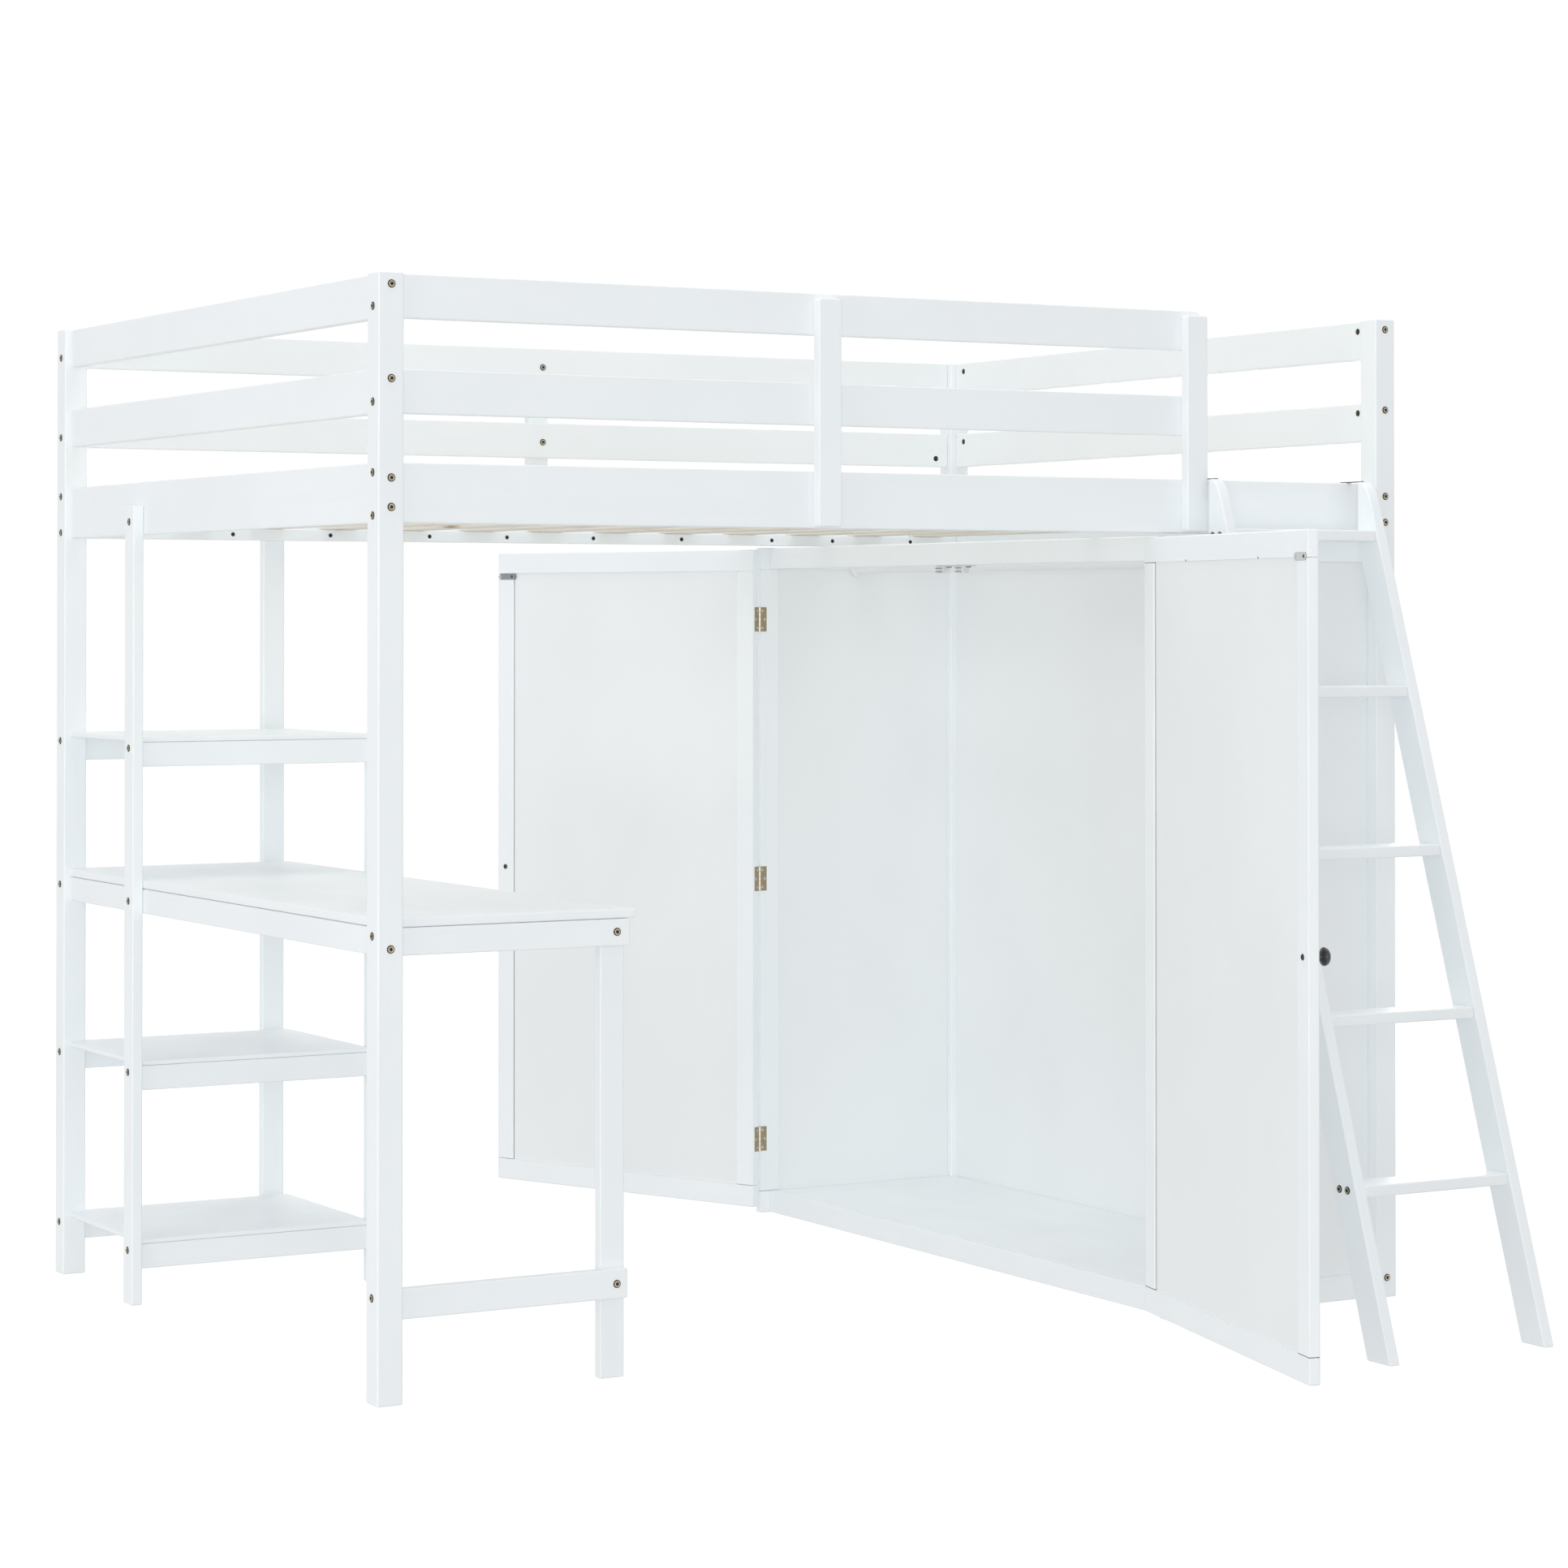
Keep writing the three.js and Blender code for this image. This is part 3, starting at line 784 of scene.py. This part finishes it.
def build_straps():
    start, end = SLAT_CENTRES[0] - SLAT_WIDTH / 4, SLAT_CENTRES[-1] + SLAT_WIDTH / 4
    for side, y in zip(("front", "back"), STRAP_Y):
        bm = bmesh.new()
        rings = []
        for i in range(STRAP_STEPS + 1):
            x = start + (end - start) * i / STRAP_STEPS
            rise = SLAT_Z[1] - CLEARANCE + 0.02 + strap_height(x)
            rings.append([bm.verts.new(at(x, y + dy, rise + dz)) for dy, dz in STRAP_SECTION])
        for a, b in zip(rings, rings[1:]):
            for i in range(len(a)):
                j = (i + 1) % len(a)
                bm.faces.new((a[i], b[i], b[j], a[j]))
        bm.faces.new(rings[0])
        bm.faces.new(list(reversed(rings[-1])))
        bmesh.ops.recalc_face_normals(bm, faces=bm.faces)
        name = f"strap_{side}"
        piece(name, bm, WEBBING, "frame", (1, 0, 0), smooth=CURVE_TURNED)
        rise = SLAT_Z[1] + 0.7
        places = [(x + dx, y, rise, (0, 0, 1)) for x in SLAT_CENTRES for dx in STAPLES]
        fittings(f"strap_staples_{side}", staple, places, ZINC, "frame")


def staple():
    """The crown of a wire staple, 10 mm wide."""
    bm = lathe([(0.25, -5), (0.55, -4.6), (0.55, 4.6), (0.25, 5)], segments=10, bright=(1,))
    return moved(bm, Matrix.Rotation(math.pi / 2, 4, "X"))


def rod_flange():
    """A round plate with a short socket round the end of the clothes rod."""
    profile = [
        (21, 0), (21, 1.6), (20, 2.4), (16.4, 2.6), (16, 3.0), (16, 11), (15.6, 11.6),
        (14.05, 11.6), (14.05, 9),
    ]
    return lathe(profile, segments=48)


def build_rod():
    """The clothes rod and the two flanges that hold its ends."""
    low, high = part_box("clothes_rod")
    centre = (low + high) / 2
    half = (high.y - low.y) / 2 / MM
    ends = [(13.6, -half + 1.2), (13.95, -half + 2), (13.95, half - 2), (13.6, half - 1.2)]
    rod = moved(lathe(ends, segments=48), facing(centre, (0, 1, 0)))
    piece(
        "clothes_rod_tube", rod, ENAMEL, "frame", (0, 1, 0), ["clothes_rod"],
        smooth=CURVE_MOULDED,
    )
    for side, y, direction in (("front", low.y, (0, 1, 0)), ("back", high.y, (0, -1, 0))):
        flange = moved(rod_flange(), facing(Vector((centre.x, y, centre.z)), direction))
        piece(
            f"clothes_rod_flange_{side}", flange, ENAMEL, "frame", (0, 1, 0),
            smooth=CURVE_METAL,
        )


# ---------------------------------------------------------------- bolts, screws and nuts


def bolt():
    """A flat-headed furniture bolt with a dark chamfer and a hexagonal socket."""
    profile = [
        (6.2, -0.3), (6.5, 0.0), (6.4, 0.7), (5.6, 1.25), (4.9, 1.45), (4.7, 1.5), (2.9, 1.5),
        (2.6, 1.4, "hex"), (2.45, 1.0, "hex"), (2.35, 0.2, "hex"),
    ]
    return lathe(profile, segments=36, bright=(4, 5))


def barrel_nut():
    """The slotted end of a cross dowel, flush with the face of a board."""
    profile = [(5.4, -0.3), (5.7, 0.1), (5.3, 0.5), (3.4, 0.55), (3.2, 0.12)]
    # The band marked bright is the wall of the hole, painted lighter as a highlight.
    return lathe(profile, bright=(3,))


def screw():
    """A countersunk screw with a small hexagonal drive."""
    profile = [
        (3.9, -0.3), (4.1, 0.1), (3.7, 0.35), (2.1, 0.3), (1.6, 0.15, "hex"), (1.5, 0.06, "hex"),
    ]
    return lathe(profile, bright=(2,))


# Heights of the bolts in the posts' end faces, in their front and back faces, and in the shelf
# posts. Those in the end faces hold the long rails, the others hold the end rails.
LEFT_Z = (1705, 1556, 1446, 1379)
FRONT_Z = (1739, 1592, 1437.7, 1392)
SHELF_Z = (988, 716, 412, 96)
SHELF_POST_Z = 1391  # where a shelf post is bolted to the bed's rail
DESK_BOLT_Z = 706.5
PLINTH_BOLT_Z = 36
GUARD_Z = (1719, 1570)
GUARD_BOARDS_X = (811, 1557)
SHELF_POSTS_X = (-8, 433, 478)  # the outer one's outer face, the back one's middle, the inner face
SHELF_POSTS_Y = (1060, 1468)
DESK_LEG_X = 424
NUTS_Z = (1739, 1591)
NUTS_Y = (66, 1386)
BACK_NUTS = ((74, 1926), 1556)  # X, Z
LEDGER_SCREWS = (332, 533, 743, 911, 1103, 1304, 1515, 1660, 1850)
LEDGER_SCREWS_Z = 1379
TREAD_BOLTS = (20, 41)  # behind the stile's front edge
TREAD_BOLT_DROP = 8  # below a tread's top
TOP_TREAD_BOLT_DROP = 12
TO_FRONT, TO_BACK, TO_LEFT, TO_RIGHT = (0, -1, 0), (0, 1, 0), (-1, 0, 0), (1, 0, 0)


def build_bolts():
    face_front, face_back = CLEARANCE, BED_WIDTH - CLEARANCE
    face_left, face_right = CLEARANCE, BED_LENGTH - CLEARANCE
    left, right = POSTS_X
    front, back = POSTS_Y
    shelf_outer, shelf_back, shelf_inner = SHELF_POSTS_X
    sets = {
        "post_front_left": [(left, face_front, z, TO_FRONT) for z in (*FRONT_Z, DESK_BOLT_Z)]
        + [(face_left, front, z, TO_LEFT) for z in (*LEFT_Z, 726, 166)],
        "post_back_left": [
            (face_left, back, z, TO_LEFT) for z in (*LEFT_Z, 991, 724, *SHELF_Z[2:])
        ]
        + [(left, face_back, z, TO_BACK) for z in (*FRONT_Z, DESK_BOLT_Z)],
        "post_front_right": [
            (right, face_front, z, TO_FRONT) for z in (1739, 1594, 1438.7, 1392, PLINTH_BOLT_Z)
        ]
        + [(face_right, front, z, TO_RIGHT) for z in LEFT_Z],
        "post_back_right": [(right, face_back, z, TO_BACK) for z in (*FRONT_Z, PLINTH_BOLT_Z)]
        + [(face_right, back, z, TO_RIGHT) for z in LEFT_Z],
        "shelf_post_outer": [
            (shelf_outer + CLEARANCE, SHELF_POSTS_Y[0], z, TO_LEFT)
            for z in (SHELF_POST_Z, *SHELF_Z)
        ],
        "shelf_post_back": [
            (shelf_back, SHELF_POSTS_Y[1] - CLEARANCE, z, TO_BACK)
            for z in (SHELF_POST_Z, *SHELF_Z)
        ],
        "shelf_post_inner": [
            (shelf_inner - CLEARANCE, SHELF_POSTS_Y[0], z, TO_RIGHT) for z in SHELF_Z
        ],
        "desk_leg": [(DESK_LEG_X, FRONT[0] + CLEARANCE, z, TO_FRONT) for z in (154, 717)],
        "guard_board_back": [
            (BED_LENGTH / 2, BACK[0] + CLEARANCE, z, TO_FRONT) for z in GUARD_Z
        ],
        "guard_boards_front": [
            (x, FRONT[1] - CLEARANCE, z, TO_BACK) for x in GUARD_BOARDS_X for z in GUARD_Z
        ],
    }
    for name, places in sets.items():
        fittings("bolts_" + name, bolt, places, BRONZE, "frame")


def build_nuts_and_screws():
    nuts = [(RIGHT[0] + CLEARANCE, y, z, TO_LEFT) for y in NUTS_Y for z in NUTS_Z]
    nuts += [(LEFT[1] - CLEARANCE, y, z, TO_RIGHT) for y in NUTS_Y for z in NUTS_Z]
    nuts += [(x, BACK[0] + CLEARANCE, BACK_NUTS[1], TO_FRONT) for x in BACK_NUTS[0]]
    fittings("barrel_nuts", barrel_nut, nuts, BRONZE, "frame")

    ledgers = (
        ("back", BACK[0] - BOARD + CLEARANCE, TO_FRONT),
        ("front", FRONT[1] + BOARD - CLEARANCE, TO_BACK),
    )
    for side, y, direction in ledgers:
        places = [(x, y, LEDGER_SCREWS_Z, direction) for x in LEDGER_SCREWS]
        fittings(f"ledger_screws_{side}", screw, places, SCREW, "frame")


def build_ladder_bolts():
    sides = (
        ("left", LADDER_LEFT + CLEARANCE, TO_LEFT),
        ("right", LADDER_RIGHT - CLEARANCE, TO_RIGHT),
    )
    for side, x, direction in sides:
        places = []
        for top in TREAD_TOPS:
            edge = LADDER_FOOT + LADDER_LEAN * top
            z = top - (TOP_TREAD_BOLT_DROP if top == TREAD_TOPS[-1] else TREAD_BOLT_DROP)
            places += [(x, edge + offset, z, direction) for offset in TREAD_BOLTS]
        fittings(f"bolts_ladder_{side}", bolt, places, BRONZE, "ladder")


# ---------------------------------------------------------------- hinges

HINGE_LENGTH = 50
LEAF_WIDTH = 17
LEAF_THICKNESS = 0.4
LEAF_START = 0.6  # from the pin's axis to the flat of a leaf
KNUCKLES = 5
KNUCKLE = [(1.5, -4.75), (2.3, -4.7), (2.55, -4.4), (2.55, 4.4), (2.3, 4.7), (1.5, 4.75)]
PIN = [(1.2, -25.6), (1.4, -25.2), (1.4, 25.2), (1.2, 25.6)]
SCREW_SPOTS = ((7.0, -17.5), (12.5, 0.0), (7.0, 17.5))  # from the pin, from the hinge's middle
HEAD_PLANE = 0.18  # the hinge screws are sunk in the leaves, so that these close flat


def hinge_leaf(side_of_pin, gap_side, knuckles):
    """One leaf of a butt hinge with its knuckles, about a pin along Z. It lies along +X on the
    plane Y = gap_side, and its thickness is towards side_of_pin."""
    y = sorted((gap_side, gap_side + side_of_pin * LEAF_THICKNESS))
    half = HINGE_LENGTH / 2
    bm = member((LEAF_START, LEAF_WIDTH), y, (-half, half), 0.12)
    length = HINGE_LENGTH / KNUCKLES
    for number in knuckles:
        middle = -half + length * (number + 0.5)
        ring = lathe(KNUCKLE, bright=(1, 2, 3))
        join(bm, moved(ring, Matrix.Translation((0, 0, middle * MM))))
    return bm


def hinge_screw():
    """A flat countersunk screw head with a shallow recess, set in a leaf."""
    profile = [
        (2.4, -0.2), (2.7, 0.12), (2.3, 0.3), (1.1, 0.29), (0.9, 0.25, "hex"), (0.8, 0.23, "hex"),
    ]
    return lathe(profile, bright=(1, 2))


def build_hinge(name, door, z):
    """A butt hinge at a height: its fixed leaf, swinging leaf, pin and screws."""
    towards, body = door["towards"], door["body"]
    closed = Matrix.Translation(door["hinge"].translation)
    lift = Matrix.Translation((0, 0, z * MM))
    fixed_face = -towards * (1 + CLEARANCE)
    swinging_face = towards * CLEARANCE

    fixed = moved(hinge_leaf(towards, fixed_face, (0, 2, 4)), closed @ lift)
    piece(name + "_fixed", fixed, NICKEL, "frame", smooth=CURVE_METAL)
    swinging = moved(hinge_leaf(-towards, swinging_face, (1, 3)), door["hinge"] @ lift)
    piece(name + "_swinging", swinging, NICKEL, body, smooth=CURVE_METAL)
    pin = moved(lathe(PIN, segments=20), closed @ lift)
    piece(name + "_pin", pin, NICKEL, "frame", smooth=CURVE_METAL)

    y = fixed_face + towards * HEAD_PLANE
    places = [(x, y, z + dz, (0, towards, 0)) for x, dz in SCREW_SPOTS]
    screws = name + "_fixed_screws"
    fittings(screws, hinge_screw, places, ZINC, "frame", closed)
    y = swinging_face - towards * HEAD_PLANE
    places = [(x, y, z + dz, (0, -towards, 0)) for x, dz in SCREW_SPOTS]
    screws = name + "_swinging_screws"
    fittings(screws, hinge_screw, places, ZINC, body, door["hinge"])


def build_hinges():
    for side, door in DOORS.items():
        for level, z in zip(("low", "middle", "high"), HINGE_HEIGHTS):
            build_hinge(f"hinge_{side}_{level}", door, z)


# ---------------------------------------------------------------- catches, strikes and hooks

STRIKE = (46, 13, 5)  # length, height and corner radius of the steel plates on the doors
STRIKE_THICKNESS = 1.0
STRIKE_Y = 668  # from the hinge to a plate's middle
# Height, material, and where the dark screw and the bright rivet are, from the hinge.
STRIKES = {"front": (1317.3, ZINC, 682, 651), "back": (1309, STEEL, 656, 690)}
BRADS = (191.5, 499.8)  # from the front door's hinge
BRADS_Z = 1317.4
CATCHES = (700, 769)  # Y of the two catches
CATCH_SETBACK = 25.2  # behind the wardrobe's front
POLE_DROPS = (12.4, 5.6)
POLE_THICKNESS = 1.1
CATCH_SCREWS = (-8, -16)
HOOKS = {"left": (1580.6, 1588.6), "right": (1902, 1910)}  # X of their two edges
HOOK_TOP = 1463.8
HOOK_UNDER = 1462.2
HOOK_THICKNESS = 2
HOOK_FOOT = 1424  # its lower end behind the stile
HOOK_LIP = 1440  # its lower end behind the rail
HOOK_SCREWS_Z = (1432, 1448)


def rounded_rectangle(width, height, radius, steps=5):
    """The outline of a rectangle with round corners about the origin, anticlockwise."""
    outline = []
    for corner, (sx, sy) in enumerate(((1, 1), (-1, 1), (-1, -1), (1, -1))):
        for i in range(steps + 1):
            turn = math.pi / 2 * (corner + i / steps)
            x = sx * (width / 2 - radius) + radius * math.cos(turn)
            outline.append((x, sy * (height / 2 - radius) + radius * math.sin(turn)))
    return outline


def stamped_plate(width, height, radius, thickness):
    """A flat plate with round corners, lying in XY, its upper edge a little rounded."""
    softness = 0.35
    bm = bmesh.new()
    edge_mark_layer(bm)
    full = rounded_rectangle(width, height, radius)
    drawn_in = rounded_rectangle(width - 2 * softness, height - 2 * softness, radius - softness)
    levels = ((full, 0), (full, thickness - softness), (drawn_in, thickness))
    rings = [
        [bm.verts.new(Vector((x, y, z)) * MM) for x, y in outline] for outline, z in levels
    ]
    for lower, upper in zip(rings, rings[1:]):
        close_band(bm, lower, upper)
    bm.faces.new(list(reversed(rings[0])))
    mark(bm, [bm.faces.new(rings[-1])])
    return bm


def brad():
    """The small dark head of a pin that holds a thin panel."""
    return lathe([(1.6, -0.3), (1.8, 0.1), (1.4, 0.3)], segments=16)


def pan_screw():
    """A small pan-head screw with a recess."""
    profile = [
        (3.2, -0.1), (3.2, 0.6), (2.6, 1.3), (1.5, 1.6), (1.1, 1.5, "hex"), (0.9, 0.7, "hex"),
    ]
    return lathe(profile, bright=(2,))


def build_strikes():
    """The plates on the doors' inner faces that the catches hold, and the pins near them."""
    face = DOOR_FACE + BOARD - CLEARANCE
    for side, (z, material, dark_y, bright_y) in STRIKES.items():
        hinge, towards, body = DOORS[side]["hinge"], DOORS[side]["towards"], DOORS[side]["body"]
        turned = hinge @ facing(Vector((face, towards * STRIKE_Y, z)) * MM, (1, 0, 0))
        upright = abs((turned.to_3x3() @ Vector((1, 0, 0))).z) > 0.5
        lengthwise = Matrix.Rotation(math.radians(90 if upright else 0), 4, "Z")
        plate = moved(stamped_plate(*STRIKE, STRIKE_THICKNESS), turned @ lengthwise)
        name = f"strike_plate_{side}"
        piece(name, plate, material, body, smooth=CURVE_METAL)
        place = [(face + 0.2, towards * dark_y, z, (1, 0, 0))]
        name = f"strike_screw_{side}"
        fittings(name, pan_screw, place, SCREW, body, hinge)
        place = [(face + 0.9, towards * bright_y, z, (1, 0, 0))]
        fittings(f"strike_rivet_{side}", screw, place, ZINC, body, hinge)
    places = [(face, y, BRADS_Z, (1, 0, 0)) for y in BRADS]
    hinge = DOORS["front"]["hinge"]
    fittings("door_front_brads", brad, places, SCREW, "front_door", hinge)


def build_catches():
    """Two magnetic catches under the wardrobe's header, each with two steel pole plates."""
    top = WARDROBE_HEIGHT - POST
    x = WARDROBE_FRONT + CATCH_SETBACK
    along = (0, 1, 0)
    for number, y in enumerate(CATCHES, 1):
        # The magnet's case, and beside it the flange that the screws go through.
        housing = block((x, y + 2, top - 15), (x + 17, y + 28, top - 0.3), 2.0)
        flange = block((x + 1, y - 24, top - 2.6), (x + 16, y + 1.9, top - 0.3), 0.8)
        join(housing, flange)
        name = f"catch_{number}_housing"
        piece(name, housing, CATCH, "frame", along, smooth=CURVE_MOULDED)
        poles = bmesh.new()
        for z in (top - drop for drop in POLE_DROPS):
            join(poles, block((x - 2, y + 4, z), (x + 6, y + 26, z + POLE_THICKNESS), 0.25))
        name = f"catch_{number}_poles"
        piece(name, poles, STEEL, "frame", along, smooth=CURVE_MOULDED)
        screws = [(x + 5, y + dy, top - 2.6, (0, 0, -1)) for dy in CATCH_SCREWS]
        fittings(f"catch_{number}_screws", pan_screw, screws, SCREW, "frame")


def build_hooks():
    """The two flat steel hooks behind the stiles that hang the ladder on the side rail."""
    stile, rail = LADDER_BACK + 0.1, FRONT[1] + 0.6
    stile_back, rail_back = stile + HOOK_THICKNESS, rail + HOOK_THICKNESS
    outline = [(stile, HOOK_TOP), (stile, HOOK_FOOT)]
    outline += [(stile_back, HOOK_FOOT), (stile_back, HOOK_UNDER)]
    outline += [(rail, HOOK_UNDER), (rail, HOOK_LIP)]
    outline += [(rail_back, HOOK_LIP), (rail_back, HOOK_TOP)]
    for side, edges in HOOKS.items():
        bm = bmesh.new()
        near, far = ([bm.verts.new(at(x, y, z)) for y, z in outline] for x in edges)
        close_band(bm, near, far)
        bm.faces.new(near)
        bm.faces.new(list(reversed(far)))
        bmesh.ops.recalc_face_normals(bm, faces=bm.faces)
        ease(bm, 0.4, segments=2)
        name = f"ladder_hook_{side}"
        piece(name, bm, STEEL, "ladder", (0, 1, 0), smooth=CURVE_MOULDED)
        screws = [(sum(edges) / 2, stile + 1.9, z, TO_BACK) for z in HOOK_SCREWS_Z]
        name = f"ladder_hook_screw_{side}"
        fittings(name, pan_screw, screws, SCREW, "ladder")


# ---------------------------------------------------------------- camera, light and floor

SKY_STRENGTH = 0.595
FLOOR_TONE = 0.25
FLOOR_GLOW = 0.88
FLOOR_RADIUS = 30.0
BACKDROP_GLOW = 1.02
BACKDROP_RADIUS = 60.0
WASH_ANGLE = 0.5  # how wide, in radians, the light of a wash comes from
SOFTBOXES = (  # name, place, target, metres across and strength
    ("key", (-7.0, -2.0, 1.1), (0.0, 0.0, 0.8), 4.0, 0.137),
    ("fill", (-4.5, -8.0, 1.1), (0.0, 0.0, 0.9), 4.0, 0.13),
    ("top", (0.0, 0.0, 6.5), (0.0, 0.0, 0.5), 4.5, 0.32),
    ("rear", (6.5, 7.0, 3.0), (0.0, 0.0, 0.9), 5.0, 0.26),
)
WASHES = (  # name, direction and strength
    ("wash_down", (0.0, 0.0, -1.0), 0.085),
    ("wash_right", (1.0, 0.0, 0.0), 0.12),
    ("wash_back", (0.0, 1.0, 0.0), 0.125),
)


def stage_object(name, bm, material):
    """Makes bm a part of the studio. It isn't part of the bed and throws no light on it."""
    mesh = bpy.data.meshes.new(name)
    bm.to_mesh(mesh)
    bm.free()
    mesh.materials.append(material)
    made = bpy.data.objects.new(name, mesh)
    made.visible_diffuse = False
    bpy.context.scene.collection.objects.link(made)
    return made


def build_sky():
    world = bpy.data.worlds.new("studio")
    bpy.context.scene.world = world
    world.use_nodes = True
    background = world.node_tree.nodes["Background"]
    background.inputs["Color"].default_value = rgb(1.0, 1.0, 1.0)
    background.inputs["Strength"].default_value = SKY_STRENGTH


def build_floor():
    g = Graph("studio_floor")
    g.finish(
        Base_Color=rgb(FLOOR_TONE, FLOOR_TONE, FLOOR_TONE),
        Roughness=0.9,
        Specular_IOR_Level=0.0,
        Emission_Color=rgb(1.0, 1.0, 1.0),
        Emission_Strength=FLOOR_GLOW,
    )
    bm = bmesh.new()
    bmesh.ops.create_circle(bm, cap_ends=True, segments=96, radius=FLOOR_RADIUS)
    stage_object("studio_floor", bm, g.material)


def build_backdrop():
    """A white cyclorama behind everything. It only shows: the lamps and the sky do the lighting."""
    g = Graph("studio_backdrop")
    glow = g.add("Emission", {"Color": rgb(1.0, 1.0, 1.0), "Strength": BACKDROP_GLOW})
    g.add("OutputMaterial", {"Surface": glow.outputs[0]})
    bm = bmesh.new()
    bmesh.ops.create_icosphere(bm, subdivisions=4, radius=BACKDROP_RADIUS)
    backdrop = stage_object("studio_backdrop", bm, g.material)
    backdrop.visible_shadow = False


def aim(name, lamp, place, direction):
    made = bpy.data.objects.new(name, lamp)
    made.location = place
    made.rotation_euler = Vector(direction).to_track_quat("-Z", "Y").to_euler()
    bpy.context.scene.collection.objects.link(made)


def add_softbox(name, place, target, size, strength):
    """A round softbox. Its strength is that of the sky which would light a facing board alike."""
    reach = Vector(target) - Vector(place)
    lamp = bpy.data.lights.new(name, "AREA")
    lamp.shape = "DISK"
    lamp.size = size
    lamp.energy = math.pi**2 * reach.length_squared * strength
    aim(name, lamp, place, reach)


def add_wash(name, direction, strength):
    """The even light that white studio walls throw back, which casts no shadow of its own."""
    lamp = bpy.data.lights.new(name, "SUN")
    lamp.energy = math.pi * strength
    lamp.angle = WASH_ANGLE
    lamp.use_shadow = False
    aim(name, lamp, (0.0, 0.0, 0.0), direction)


def build_lights():
    for softbox in SOFTBOXES:
        add_softbox(*softbox)
    for wash in WASHES:
        add_wash(*wash)


def build_camera():
    """The camera's place, lens and shift were fitted to the photograph."""
    lens = bpy.data.cameras.new("camera")
    lens.sensor_width = 36.0
    lens.lens = 89.90
    lens.shift_x = 0.01102
    lens.shift_y = -0.13932
    lens.clip_end = 200.0
    camera = bpy.data.objects.new("camera", lens)
    camera.location = (-3.49470, -6.26744, 1.21956)
    camera.rotation_euler = [math.radians(a) for a in (90.768, 0.0, -29.889)]
    bpy.context.scene.collection.objects.link(camera)
    bpy.context.scene.camera = camera


build_camera()
build_sky()
build_floor()
build_backdrop()
build_lights()
build_boards()
build_wardrobe()
build_doors()
build_slats()
build_straps()
build_rod()
build_bolts()
build_nuts_and_screws()
build_ladder_bolts()
build_hinges()
build_strikes()
build_catches()
build_hooks()

bpy.context.scene.view_settings.view_transform = "Standard"
